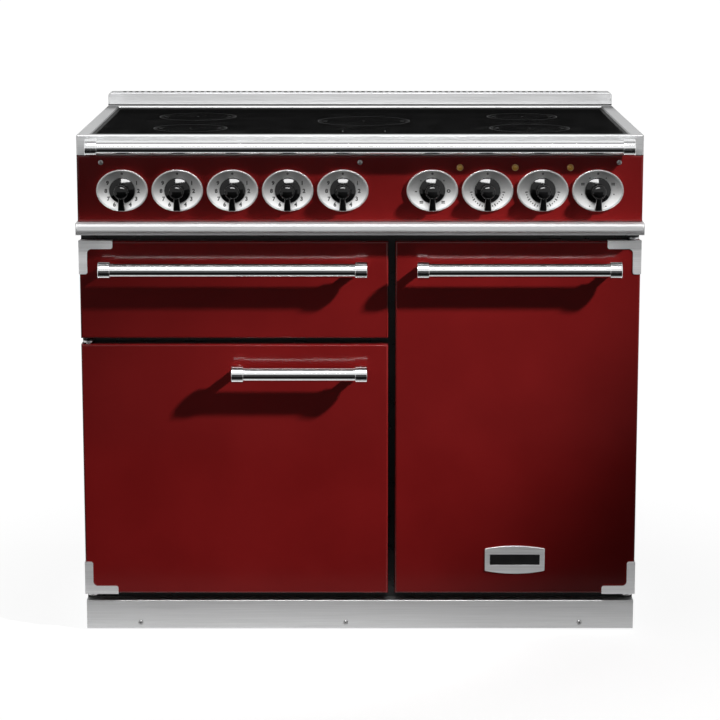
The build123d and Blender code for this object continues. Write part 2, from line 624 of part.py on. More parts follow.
# Hob: a dished steel tray with the glass on its inner ledge, the coils and their casing
# under the glass, and the slotted upstand at the back.
UPSTAND_H = 25.0
UPSTAND_T = 36.0
RIM_SIDE = 22.0
RIM_FRONT = 16.0
RIM_BEVEL = 3.0
DISH_DEPTH = 5.0  # glass below the rim
GLASS_T = 4.0
GLASS_EASE = 0.5
LEDGE_W = 12.0
UPSTAND_Y = REAR_Y - UPSTAND_T
HOLE_X = BODY_X - RIM_SIDE
HOLE_Y = (FASCIA_Y + RIM_FRONT, UPSTAND_Y - RIM_SIDE)
GLASS_X = HOLE_X - RIM_BEVEL
GLASS_Y = (HOLE_Y[0] + RIM_BEVEL, HOLE_Y[1] - RIM_BEVEL)
GLASS_TOP = HOB_Z - DISH_DEPTH
LEDGE_Z = GLASS_TOP - GLASS_T

with BuildPart() as hob_tray:
    block(-BODY_X, BODY_X, FASCIA_Y, REAR_Y, RIM_Z, HOB_Z)
    fillet(hob_tray.edges().filter_by(Axis.Z), 3)
    fillet(hob_tray.faces().sort_by(Axis.Z)[-1].edges(), 2)
    with BuildSketch(Plane.XY.offset(LEDGE_Z - SKIN)):
        with Locations((0, (FASCIA_Y + REAR_Y) / 2)):
            Rectangle(BODY_W - 2 * SKIN, DEPTH - 2 * SKIN)
    extrude(amount=-(LEDGE_Z - SKIN - RIM_Z), mode=Mode.SUBTRACT)
    for low, high, x, ys in ((RIM_Z, LEDGE_Z, GLASS_X - LEDGE_W, (GLASS_Y[0] + LEDGE_W, GLASS_Y[1] - LEDGE_W)),
                             (LEDGE_Z, GLASS_TOP, GLASS_X, GLASS_Y)):
        block(-x, x, ys[0], ys[1], low, high, Mode.SUBTRACT)
    with BuildSketch(Plane.XY.offset(GLASS_TOP)):
        with Locations((0, (GLASS_Y[0] + GLASS_Y[1]) / 2)):
            Rectangle(2 * GLASS_X, GLASS_Y[1] - GLASS_Y[0])
    with BuildSketch(Plane.XY.offset(HOB_Z)):
        with Locations((0, (HOLE_Y[0] + HOLE_Y[1]) / 2)):
            Rectangle(2 * HOLE_X, HOLE_Y[1] - HOLE_Y[0])
    loft(mode=Mode.SUBTRACT)
save(hob_tray, "hob_tray")

with BuildPart() as hob_glass:
    block(-GLASS_X + GLASS_EASE, GLASS_X - GLASS_EASE, GLASS_Y[0] + GLASS_EASE, GLASS_Y[1] - GLASS_EASE,
          LEDGE_Z, GLASS_TOP)
    fillet(hob_glass.edges().filter_by(Axis.Z), 3)
    chamfer(hob_glass.faces().sort_by(Axis.Z)[-1].edges(), 0.6)
save(hob_glass, "hob_glass")

SLOT_PITCH = 11.75
SLOT_W = 6.5
SLOT_L = 22.0
SLOT_COUNT = int((BODY_W - 40) // SLOT_PITCH)

with BuildPart() as rear_upstand:
    block(-BODY_X, BODY_X, UPSTAND_Y, REAR_Y, HOB_Z, HOB_Z + UPSTAND_H)
    fillet(rear_upstand.edges().filter_by(Axis.Y).group_by(Axis.Z)[-1], 7)
    fillet(rear_upstand.faces().sort_by(Axis.Y)[0].edges().group_by(Axis.Z)[-1], 2)
    offset(amount=-SKIN, openings=rear_upstand.faces().sort_by(Axis.Z)[0])
    with BuildSketch(Plane.XY.offset(HOB_Z + UPSTAND_H)):
        with Locations((0, (UPSTAND_Y + REAR_Y) / 2)):
            with GridLocations(SLOT_PITCH, 1, SLOT_COUNT, 1):
                Rectangle(SLOT_W, SLOT_L)
    extrude(amount=-4 * SKIN, mode=Mode.SUBTRACT)
save(rear_upstand, "rear_upstand")

# Induction unit: an aluminium tray hung under the ledge, with the power boards' covers
# below it and five coils standing in it, just under the glass.
CASING_X = GLASS_X - LEDGE_W - 10.0
CASING_Y = (GLASS_Y[0] + LEDGE_W + 10.0, GLASS_Y[1] - LEDGE_W - 10.0)
CASING_D = 17.0
FLANGE_Z = LEDGE_Z - SKIN
COIL_GAP = 0.5  # coil to glass
COIL_SIDE_X = 307.0
COIL_FRONT_Y = FASCIA_Y + 140.0
COIL_REAR_Y = FASCIA_Y + 385.0
COIL_MID_Y = (COIL_FRONT_Y + COIL_REAR_Y) / 2
BOARD_H = 40.0
BOARD_W = 300.0

with BuildPart() as induction_casing:
    over = 17.0
    block(-CASING_X - over, CASING_X + over, CASING_Y[0] - over, CASING_Y[1] + over,
          FLANGE_Z - SHEET, FLANGE_Z)
    block(-CASING_X, CASING_X, CASING_Y[0], CASING_Y[1], FLANGE_Z - CASING_D, FLANGE_Z)
    block(-CASING_X + SHEET, CASING_X - SHEET, CASING_Y[0] + SHEET, CASING_Y[1] - SHEET,
          FLANGE_Z - CASING_D + SHEET, FLANGE_Z, Mode.SUBTRACT)
    floor = FLANGE_Z - CASING_D
    for side in (-1, 1):
        x = side * COIL_SIDE_X
        y0, y1 = COIL_FRONT_Y, COIL_REAR_Y
        block(x - BOARD_W / 2, x + BOARD_W / 2, y0, y1, floor - BOARD_H, floor)
        block(x - BOARD_W / 2 + SHEET, x + BOARD_W / 2 - SHEET, y0 - 1, y1 + 1,
              floor - BOARD_H + SHEET, floor, Mode.SUBTRACT)
save(induction_casing, "induction_casing")

with BuildPart() as induction_coils:
    low, high = floor + SHEET, LEDGE_Z - COIL_GAP
    spots = [(side * COIL_SIDE_X, y, r) for side in (-1, 1)
             for y, r in ((COIL_FRONT_Y, 90), (COIL_REAR_Y, 90))] + [(0, COIL_MID_Y, 115)]
    for x, y, r in spots:
        rod_z(x, y, low, high, r)
        rod_z(x, y, low + 6, high, 22, Mode.SUBTRACT)
save(induction_coils, "induction_coils")


# Handles: a tube between two capped posts. The hand rail along the hob is the same.
def handle_bar(x0, x1, y, z):
    """The tube, its ends inside the caps."""
    end = CAP_L - SOCKET
    with BuildPart() as bar:
        rod_x(x0 + end, x1 - end, y, z, BAR_R)
        rod_x(x0 + end - 1, x1 - end + 1, y, z, BAR_R - 1.5, Mode.SUBTRACT)
    return bar


def handle_posts(x0, x1, y, z, face):
    """Two round caps, each on a post that stands on the face."""
    with BuildPart() as posts:
        for x in (x0, x1 - CAP_L):
            rod_x(x, x + CAP_L, y, z, CAP_R)
        fillet(posts.edges().filter_by(GeomType.CIRCLE), 1.2)
        for x in (x0, x1 - CAP_L):
            rod_y(x + CAP_L / 2, y, face, z, POST_R)
        rod_x(x0 + CAP_L - SOCKET, x1 - CAP_L + SOCKET, y, z, BAR_R + FIT, Mode.SUBTRACT)
    return posts


HANDLE_INSET = 37.5
HANDLE_DROP = 46.0  # handle axis under the door's top edge
OVEN_HANDLE_L = 239.0
RAIL_INSET = 18.5
RAIL_Z = HOB_Z - 19.0
HANDLES = {
    "grill_handle": (-BODY_X + HANDLE_INSET, LEFT_X - HANDLE_INSET, DOOR_TOP_Z - HANDLE_DROP),
    "left_oven_handle": (LEFT_X - HANDLE_INSET - OVEN_HANDLE_L, LEFT_X - HANDLE_INSET, LEFT_TOP_Z - HANDLE_DROP),
    "right_oven_handle": (RIGHT_X + HANDLE_INSET, BODY_X - HANDLE_INSET, DOOR_TOP_Z - HANDLE_DROP),
}
for place, (x0, x1, z) in HANDLES.items():
    save(handle_bar(x0, x1, HANDLE_Y, z), place + "_bar")
    save(handle_posts(x0, x1, HANDLE_Y, z, DOOR_Y), place + "_posts")
rail = (-BODY_X + RAIL_INSET, BODY_X - RAIL_INSET, HANDLE_Y, RAIL_Z)
save(handle_bar(*rail), "hand_rail_bar")
save(handle_posts(*rail, FASCIA_Y), "hand_rail_posts")

# Doors: an enamelled outer skin folded back round all four edges, closed by a pressed liner
# whose raised middle reaches into the mouth. The side-hung doors turn on pins at their outer
# corners, the grill door drops on pins near its lower corners.
PIVOT_IN = 12.0  # pivot axis in from the door edge
PIVOT_BACK = 14.0  # pivot axis behind the door face
PIN_R = 4.0
PIN_L = 14.0
PLUG_EASE = 10.0  # liner plug to mouth edge
PLUG_IN = 10.0  # plug past the frame face
HINGE_CLEAR = 2.5
HINGE_T = 3.0
PIVOT_Y = DOOR_Y + PIVOT_BACK
ARM_IN = 6.0  # grill hinge arm in from the door edge
ARM_R = 5.0
ARM_EASE = 1.5
BUSH_L = 16.0
GRILL_PIVOT_Z = GRILL_Z + PIVOT_IN
LINER_IN = 2.0


def door_skin(x0, x1, z0, z1):
    """The folded outer skin, open at the back."""
    block(x0, x1, DOOR_Y, LINER_Y, z0, z1)


def door_liner(x0, x1, z0, z1, mouth):
    """The pressed sheet on the back of the skin, with its raised middle."""
    mx0, mx1, mz0, mz1 = mouth
    deep = FRAME_Y + PLUG_IN
    e = PLUG_EASE
    block(x0 + LINER_IN, x1 - LINER_IN, LINER_Y, LINER_Y + SHEET, z0 + LINER_IN, z1 - LINER_IN)
    block(mx0 + e, mx1 - e, LINER_Y, deep, mz0 + e, mz1 - e)
    e += SHEET
    block(mx0 + e, mx1 - e, LINER_Y, deep - SHEET, mz0 + e, mz1 - e, Mode.SUBTRACT)


def side_hung_skin(x0, x1, z0, z1, hinge_x):
    """A folded skin with a pin bush inside its two hinge corners."""
    inward = 1 if hinge_x < (x0 + x1) / 2 else -1
    edge = x0 if inward > 0 else x1
    near, far = sorted((edge + inward * SKIN / 2, edge + inward * (PIVOT_IN + 9)))
    with BuildPart() as skin:
        door_skin(x0, x1, z0, z1)
        fillet(skin.faces().sort_by(Axis.Y)[0].edges(), EDGE_R)
        offset(amount=-SKIN, openings=skin.faces().sort_by(Axis.Y)[-1])
        for low, high in ((z0 + SKIN / 2, z0 + BUSH_L), (z1 - BUSH_L, z1 - SKIN / 2)):
            block(near, far, PIVOT_Y - 9, PIVOT_Y + 9, low, high)
        for low, high in ((z0 - 1, z0 + BUSH_L + 1), (z1 - BUSH_L - 1, z1 + 1)):
            rod_z(hinge_x, PIVOT_Y, low, high, PIN_R + FIT, Mode.SUBTRACT)
    return skin


LEFT_DOOR = (-BODY_X, LEFT_X, DOOR_FOOT_Z, LEFT_TOP_Z)
RIGHT_DOOR = (RIGHT_X, BODY_X, DOOR_FOOT_Z, DOOR_TOP_Z)
GRILL_DOOR = (-BODY_X, LEFT_X, GRILL_Z, DOOR_TOP_Z)
LEFT_HINGE_X = -BODY_X + PIVOT_IN
RIGHT_HINGE_X = BODY_X - PIVOT_IN
save(side_hung_skin(*LEFT_DOOR, LEFT_HINGE_X), "left_oven_door_skin")
save(side_hung_skin(*RIGHT_DOOR, RIGHT_HINGE_X), "right_oven_door_skin")

with BuildPart() as left_oven_door_liner:
    door_liner(*LEFT_DOOR, LEFT_MOUTH)
save(left_oven_door_liner, "left_oven_door_liner")

with BuildPart() as right_oven_door_liner:
    door_liner(*RIGHT_DOOR, RIGHT_MOUTH)
save(right_oven_door_liner, "right_oven_door_liner")


def arm_slots():
    """Clearance for the two fixed hinge arms as the grill door drops."""
    for edge, inward in ((-BODY_X, 1), (LEFT_X, -1)):
        near, far = sorted((edge + inward * (ARM_IN - ARM_EASE), edge + inward * (ARM_IN + HINGE_T + ARM_EASE)))
        reach = ARM_R + ARM_EASE
        block(near, far, PIVOT_Y - reach, FRAME_Y, GRILL_Z - 1, GRILL_PIVOT_Z + reach, Mode.SUBTRACT)


with BuildPart() as grill_door_skin:
    door_skin(*GRILL_DOOR)
    fillet(grill_door_skin.faces().sort_by(Axis.Y)[0].edges(), EDGE_R)
    offset(amount=-SKIN, openings=grill_door_skin.faces().sort_by(Axis.Y)[-1])
    for edge, inward in ((-BODY_X, 1), (LEFT_X, -1)):
        start = edge + inward * (ARM_IN + HINGE_T + ARM_EASE)
        near, far = sorted((start, start + inward * BUSH_L))
        block(near, far, PIVOT_Y - 9, PIVOT_Y + 9, GRILL_Z + SKIN / 2, GRILL_PIVOT_Z + 9)
        rod_x(near - 1, far + 1, PIVOT_Y, GRILL_PIVOT_Z, PIN_R + FIT, Mode.SUBTRACT)
    arm_slots()
save(grill_door_skin, "grill_door_skin")

with BuildPart() as grill_door_liner:
    door_liner(*GRILL_DOOR, GRILL_MOUTH)
    arm_slots()
save(grill_door_liner, "grill_door_liner")

with BuildPart() as door_hinges:
    for x, edge, inward, top in ((LEFT_HINGE_X, -BODY_X, 1, LEFT_TOP_Z), (RIGHT_HINGE_X, BODY_X, -1, DOOR_TOP_Z)):
        near, far = sorted((edge + inward * 3, edge + inward * (2 * PIVOT_IN - 3)))
        for plate, pin in ((top + HINGE_CLEAR, top - PIN_L),
                           (DOOR_FOOT_Z - HINGE_CLEAR - HINGE_T, DOOR_FOOT_Z + PIN_L)):
            block(near, far, PIVOT_Y, FRAME_Y, plate, plate + HINGE_T)
            rod_z(x, PIVOT_Y, plate, plate + HINGE_T, PIVOT_IN - 3)
            low, high = sorted((plate + HINGE_T / 2, pin))
            rod_z(x, PIVOT_Y, low, high, PIN_R)
    for edge, inward in ((-BODY_X, 1), (LEFT_X, -1)):
        near, far = sorted((edge + inward * ARM_IN, edge + inward * (ARM_IN + HINGE_T)))
        block(near, far, PIVOT_Y, FRAME_Y, GRILL_PIVOT_Z - ARM_R, GRILL_PIVOT_Z + ARM_R)
        rod_x(near, far, PIVOT_Y, GRILL_PIVOT_Z, ARM_R)
        tip = edge + inward * (ARM_IN + HINGE_T + PIN_L)
        near, far = sorted((edge + inward * ARM_IN, tip))
        rod_x(near, far, PIVOT_Y, GRILL_PIVOT_Z, PIN_R)
save(door_hinges, "door_hinges")

# Steel corner pieces on the outer corners of the doors, and the blank badge plate
CORNER_L = 59.0
CORNER_W = 14.0
CORNER_T = 1.5
CORNER_LIP = 1.0
CORNER_WRAP = 10.0


def corner(x, z, right, up):
    """An L plate on the door face with lips round the two edges; right and up are +1 or -1
    toward the outside of the door."""
    lip_x, lip_z = x + right * CORNER_LIP, z + up * CORNER_LIP
    for length, height in ((CORNER_L, CORNER_W), (CORNER_W, CORNER_L)):
        xs = sorted((lip_x, x - right * length))
        zs = sorted((lip_z, z - up * height))
        block(*xs, DOOR_Y - CORNER_T, DOOR_Y, *zs)
    block(*sorted((lip_x, x)), DOOR_Y - CORNER_T, DOOR_Y + CORNER_WRAP, *sorted((lip_z, z - up * CORNER_L)))
    block(*sorted((lip_x, x - right * CORNER_L)), DOOR_Y - CORNER_T, DOOR_Y + CORNER_WRAP, *sorted((lip_z, z)))


def round_corner(piece, x, z, right, up):
    """Round the inner angle and the free ends of one L plate."""
    edges = piece.edges().filter_by(Axis.Y)
    inner = Vector(x - right * CORNER_W, DOOR_Y, z - up * CORNER_W)
    ends = (Vector(x - right * CORNER_L, DOOR_Y, z - up * CORNER_W),
            Vector(x - right * CORNER_W, DOOR_Y, z - up * CORNER_L))
    fillet([e for e in edges if (e.center() - inner).length < 2], 8)
    edges = piece.edges().filter_by(Axis.Y)
    fillet([e for e in edges if min((e.center() - v).length for v in ends) < 2], 4)


with BuildPart() as grill_door_corner:
    corner(-BODY_X, DOOR_TOP_Z, -1, 1)
    round_corner(grill_door_corner, -BODY_X, DOOR_TOP_Z, -1, 1)
save(grill_door_corner, "grill_door_corner")

with BuildPart() as left_oven_door_corner:
    corner(-BODY_X, DOOR_FOOT_Z, -1, -1)
    round_corner(left_oven_door_corner, -BODY_X, DOOR_FOOT_Z, -1, -1)
save(left_oven_door_corner, "left_oven_door_corner")

with BuildPart() as right_oven_door_corners:
    for z, up in ((DOOR_TOP_Z, 1), (DOOR_FOOT_Z, -1)):
        corner(BODY_X, z, 1, up)
        round_corner(right_oven_door_corners, BODY_X, z, 1, up)
save(right_oven_door_corners, "right_oven_door_corners")

BADGE_W = 107.5
BADGE_H = 51.6
BADGE_END_H = 41.0
BADGE_T = 2.5
BADGE_Z = DOOR_FOOT_Z + 63.0
INSET_W = 91.0
INSET_H = 20.0
INSET_D = 0.8

with BuildPart() as badge_plate:
    bx = (RIGHT_X + BODY_X) / 2
    with BuildSketch(Plane.XZ.offset(-DOOR_Y)):
        with BuildLine():
            for up in (1, -1):
                ThreePointArc((bx - BADGE_W / 2, BADGE_Z + up * BADGE_END_H / 2), (bx, BADGE_Z + up * BADGE_H / 2),
                              (bx + BADGE_W / 2, BADGE_Z + up * BADGE_END_H / 2))
            for side in (-1, 1):
                Line((bx + side * BADGE_W / 2, BADGE_Z - BADGE_END_H / 2),
                     (bx + side * BADGE_W / 2, BADGE_Z + BADGE_END_H / 2))
        make_face()
    extrude(amount=BADGE_T)
    fillet(badge_plate.edges().filter_by(Axis.Y), 2)
    fillet(badge_plate.faces().sort_by(Axis.Y)[0].edges(), 0.8)
    block(bx - INSET_W / 2, bx + INSET_W / 2, DOOR_Y - BADGE_T, DOOR_Y - BADGE_T + INSET_D,
          BADGE_Z - INSET_H / 2, BADGE_Z + INSET_H / 2, Mode.SUBTRACT)
save(badge_plate, "badge_plate")
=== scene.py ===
import json
import math

import bmesh
import bpy
from mathutils import Matrix, Vector

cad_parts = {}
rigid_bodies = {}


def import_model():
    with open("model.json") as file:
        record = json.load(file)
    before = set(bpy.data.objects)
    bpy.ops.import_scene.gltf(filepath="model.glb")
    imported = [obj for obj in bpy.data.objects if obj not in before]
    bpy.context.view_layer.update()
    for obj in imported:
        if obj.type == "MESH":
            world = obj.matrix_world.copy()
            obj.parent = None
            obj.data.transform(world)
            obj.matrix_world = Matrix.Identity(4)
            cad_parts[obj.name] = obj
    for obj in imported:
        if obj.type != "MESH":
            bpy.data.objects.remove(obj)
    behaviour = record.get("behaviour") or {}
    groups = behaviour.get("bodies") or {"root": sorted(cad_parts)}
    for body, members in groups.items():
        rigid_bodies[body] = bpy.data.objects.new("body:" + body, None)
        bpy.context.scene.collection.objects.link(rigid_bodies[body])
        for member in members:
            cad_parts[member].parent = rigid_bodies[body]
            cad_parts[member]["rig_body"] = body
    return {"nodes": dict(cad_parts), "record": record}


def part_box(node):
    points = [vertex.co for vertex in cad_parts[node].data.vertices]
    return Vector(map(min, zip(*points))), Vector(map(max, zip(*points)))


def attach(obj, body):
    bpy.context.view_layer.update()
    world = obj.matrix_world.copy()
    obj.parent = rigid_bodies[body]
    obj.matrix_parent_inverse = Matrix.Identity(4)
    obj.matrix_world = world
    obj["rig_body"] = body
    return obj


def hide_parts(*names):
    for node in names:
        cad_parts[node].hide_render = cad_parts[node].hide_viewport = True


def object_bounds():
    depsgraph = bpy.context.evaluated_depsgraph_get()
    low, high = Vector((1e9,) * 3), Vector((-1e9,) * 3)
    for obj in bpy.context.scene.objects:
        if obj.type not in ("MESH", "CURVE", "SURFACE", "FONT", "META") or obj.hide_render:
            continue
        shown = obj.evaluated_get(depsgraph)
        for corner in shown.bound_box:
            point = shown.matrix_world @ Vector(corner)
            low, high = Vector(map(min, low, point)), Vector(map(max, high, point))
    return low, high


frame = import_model()
cad_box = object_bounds()
scene = bpy.context.scene
slot_of = {piece["node"]: piece["material_slot"] for piece in frame["record"]["subparts"]}

# Base tray: one galvanised sheet with folded edges that carries the ovens, the feet and the
# rollers. The zinc has dried in pale and dark crystals over a dull grey shine.


def new_finish(name, colour, rough, metal=0.0, gloss=0.5):
    """A finish with its plain colour, roughness, metal and gloss set on the shader."""
    finish = bpy.data.materials.new(name)
    finish.use_nodes = True
    shader = finish.node_tree.nodes["Principled BSDF"]
    shader.inputs["Base Color"].default_value = (*colour, 1.0)
    shader.inputs["Roughness"].default_value = rough
    shader.inputs["Metallic"].default_value = metal
    shader.inputs["Specular IOR Level"].default_value = gloss
    return finish


def wire(tree, kind, **inputs):
    """Add a node. An input given as a socket is linked, any other value is set."""
    node = tree.nodes.new(kind)
    for name, value in inputs.items():
        socket = node.inputs[name.replace("_", " ")]
        if isinstance(value, bpy.types.NodeSocket):
            tree.links.new(value, socket)
        else:
            socket.default_value = value
    return node


def grain(finish, scale, stretch=(1, 1, 1), detail=3.0):
    """Cloudy noise in the piece's own frame; a small stretch along an axis draws it out there."""
    tree = finish.node_tree
    place = wire(tree, "ShaderNodeTexCoord").outputs["Object"]
    drawn = wire(tree, "ShaderNodeMapping", Vector=place, Scale=stretch).outputs["Vector"]
    return wire(tree, "ShaderNodeTexNoise", Vector=drawn, Scale=scale, Detail=detail).outputs[0]


def crystals(finish, scale):
    """Random grey cells, such as zinc spangle or enamel fleck."""
    tree = finish.node_tree
    place = wire(tree, "ShaderNodeTexCoord").outputs["Object"]
    return wire(tree, "ShaderNodeTexVoronoi", Vector=place, Scale=scale).outputs["Color"]


def spread(finish, field, low, high, start, end):
    """Stretch a field's low to high onto start to end."""
    node = wire(finish.node_tree, "ShaderNodeMapRange", Value=field)
    for name, value in (("From Min", low), ("From Max", high), ("To Min", start), ("To Max", end)):
        node.inputs[name].default_value = value
    return node.outputs[0]


def tint(finish, field, dark, light, low=0.35, high=0.65):
    """Run the colour from dark to light as a field goes from low to high."""
    tree = finish.node_tree
    base = tree.nodes["Principled BSDF"].inputs["Base Color"]
    blend = tree.nodes.new("ShaderNodeMix")
    blend.data_type = "RGBA"
    tree.links.new(spread(finish, field, low, high, 0.0, 1.0), blend.inputs[0])
    for socket, colour in ((blend.inputs[6], dark), (blend.inputs[7], light)):
        if isinstance(colour, bpy.types.NodeSocket):
            tree.links.new(colour, socket)
        else:
            socket.default_value = (*colour, 1.0)
    tree.links.new(blend.outputs[2], base)
    return blend.outputs[2]


def dull(finish, field, smooth, rough, low=0.3, high=0.7):
    """Run the roughness from smooth to rough with a field."""
    tree = finish.node_tree
    tree.links.new(spread(finish, field, low, high, smooth, rough),
                   tree.nodes["Principled BSDF"].inputs["Roughness"])


def relief(finish, field, strength, depth):
    """Add a fine relief from a field, over any relief that is there."""
    tree = finish.node_tree
    normal = tree.nodes["Principled BSDF"].inputs["Normal"]
    bump = wire(tree, "ShaderNodeBump", Height=field, Strength=strength, Distance=depth)
    if normal.is_linked:
        tree.links.new(normal.links[0].from_socket, bump.inputs["Normal"])
    tree.links.new(bump.outputs["Normal"], normal)


def stand(name, mesh, finish, body, slot, *nodes):
    """Make a finished piece that rides on a body and stands for CAD nodes."""
    mesh.materials.clear()
    mesh.materials.append(finish)
    piece = bpy.data.objects.new(name, mesh)
    scene.collection.objects.link(piece)
    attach(piece, body)
    if nodes:
        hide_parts(*nodes)
    return piece


def settled(piece):
    """The piece's mesh with its modifiers worked in; the working object goes."""
    bpy.context.view_layer.update()
    mesh = bpy.data.meshes.new_from_object(piece.evaluated_get(bpy.context.evaluated_depsgraph_get()))
    bpy.data.objects.remove(piece)
    return mesh


def smoothed(node, finish, sharp=40):
    """A merged copy of a CAD piece, its round faces shaded smooth and its flats kept flat."""
    shape = bmesh.new()
    shape.from_mesh(frame["nodes"][node].data)
    bmesh.ops.remove_doubles(shape, verts=shape.verts, dist=1e-6)
    mesh = bpy.data.meshes.new(node + "_shape")
    shape.to_mesh(mesh)
    shape.free()
    if "custom_normal" in mesh.attributes:
        mesh.attributes.remove(mesh.attributes["custom_normal"])
    mesh.shade_smooth()
    mesh.set_sharp_from_angle(angle=math.radians(sharp))
    working = bpy.data.objects.new("working", mesh)
    scene.collection.objects.link(working)
    even = working.modifiers.new("flat_faces_stay_flat", "WEIGHTED_NORMAL")
    even.keep_sharp = True
    even.weight = 100
    return stand(node + "_finished", settled(working), finish, frame["nodes"][node]["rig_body"],
                 slot_of[node], node)


def dress(node, finish):
    """Give a CAD piece that keeps its own shape a finish."""
    mesh = frame["nodes"][node].data
    mesh.materials.clear()
    mesh.materials.append(finish)


galvanised_steel = new_finish("galvanised_steel", (0.5, 0.52, 0.54), 0.42, metal=1.0)
spangle = crystals(galvanised_steel, 120.0)
tint(galvanised_steel, spangle, (0.42, 0.44, 0.46), (0.56, 0.58, 0.6), 0.2, 0.8)
dull(galvanised_steel, spangle, 0.38, 0.5, 0.2, 0.8)
relief(galvanised_steel, grain(galvanised_steel, 700.0), 0.08, 0.0004)
smoothed("base_tray", galvanised_steel)

# Levelling feet and rear rollers: threaded zinc-plated studs on moulded pads in front, and
# hard plastic rollers on a steel pin behind, so that the cooker can be tipped and wheeled.
hinge_steel = new_finish("hinge_steel", (0.55, 0.55, 0.55), 0.33, metal=1.0)
turning_marks = grain(hinge_steel, 1.0, (300, 300, 1400))
tint(hinge_steel, turning_marks, (0.44, 0.44, 0.45), (0.62, 0.62, 0.62))
dull(hinge_steel, turning_marks, 0.26, 0.42)
relief(hinge_steel, turning_marks, 0.06, 0.0003)

black_plastic = new_finish("black_plastic", (0.008, 0.008, 0.0085), 0.45)
tint(black_plastic, grain(black_plastic, 30.0), (0.006, 0.006, 0.0065), (0.014, 0.014, 0.015))
dull(black_plastic, grain(black_plastic, 60.0), 0.38, 0.55)
relief(black_plastic, grain(black_plastic, 1800.0, detail=2.0), 0.12, 0.0003)
for node in ("levelling_foot_left", "levelling_foot_right"):
    smoothed(node, hinge_steel)
smoothed("rear_rollers", black_plastic)

# Front frame and side panels: folded sheet steel. The frame behind the doors has a satin black
# enamel, the sides a textured black stoving paint with a fine leathery grain.
black_enamel = new_finish("black_enamel", (0.007, 0.007, 0.0075), 0.32)
tint(black_enamel, grain(black_enamel, 14.0), (0.005, 0.005, 0.0055), (0.011, 0.011, 0.012))
dull(black_enamel, grain(black_enamel, 45.0), 0.24, 0.4)
relief(black_enamel, grain(black_enamel, 500.0), 0.05, 0.0004)
smoothed("front_frame", black_enamel)

dark_paint = new_finish("dark_paint", (0.012, 0.0122, 0.0128), 0.5)
leather = grain(dark_paint, 620.0, detail=4.0)
tint(dark_paint, leather, (0.009, 0.0092, 0.0098), (0.019, 0.0193, 0.02), 0.3, 0.7)
dull(dark_paint, grain(dark_paint, 90.0), 0.46, 0.55)
relief(dark_paint, leather, 0.35, 0.0006)
smoothed("side_panels", dark_paint)

# Back panel and mains inlet: a flat galvanised sheet with cooling slots, held by cross-slot
# sheet screws along its edges, and a moulded terminal box with a cable gland under it.


def inputs_of(tree, *wanted):
    """Give a geometry tree inputs by name, kind and first value; returns their identifiers."""
    keys = {}
    for name, kind, *first in wanted:
        socket = tree.interface.new_socket(name, in_out="INPUT", socket_type="NodeSocket" + kind)
        if first:
            socket.default_value = first[0]
        keys[name] = socket.identifier
    return keys


def math_of(tree, operation, first, second=0.0):
    """One sum on two numbers or sockets."""
    node = tree.nodes.new("ShaderNodeMath")
    node.operation = operation
    for socket, value in zip(node.inputs, (first, second)):
        if isinstance(value, bpy.types.NodeSocket):
            tree.links.new(value, socket)
        else:
            socket.default_value = value
    return node.outputs[0]


def vector_of(tree, **parts):
    """A vector from numbers or sockets; a part that is left out is 0."""
    return wire(tree, "ShaderNodeCombineXYZ", **parts).outputs[0]


def end_tree(tree, name, placed, finish):
    """Make placed copies a plain mesh in a finish, and give it out under a name."""
    tree.interface.new_socket(name, in_out="OUTPUT", socket_type="NodeSocketGeometry")
    real = wire(tree, "GeometryNodeRealizeInstances", Geometry=placed.outputs["Instances"])
    painted = wire(tree, "GeometryNodeSetMaterial", Geometry=real.outputs["Geometry"], Material=finish)
    tree.links.new(painted.outputs["Geometry"], tree.nodes.new("NodeGroupOutput").inputs[0])


HEAD_SEGMENTS, HEAD_RINGS = 32, 20
UNDER_BLOCK = 3.0
SLOT_REACH, SLOT_DEPTH = 1.15, 1.7


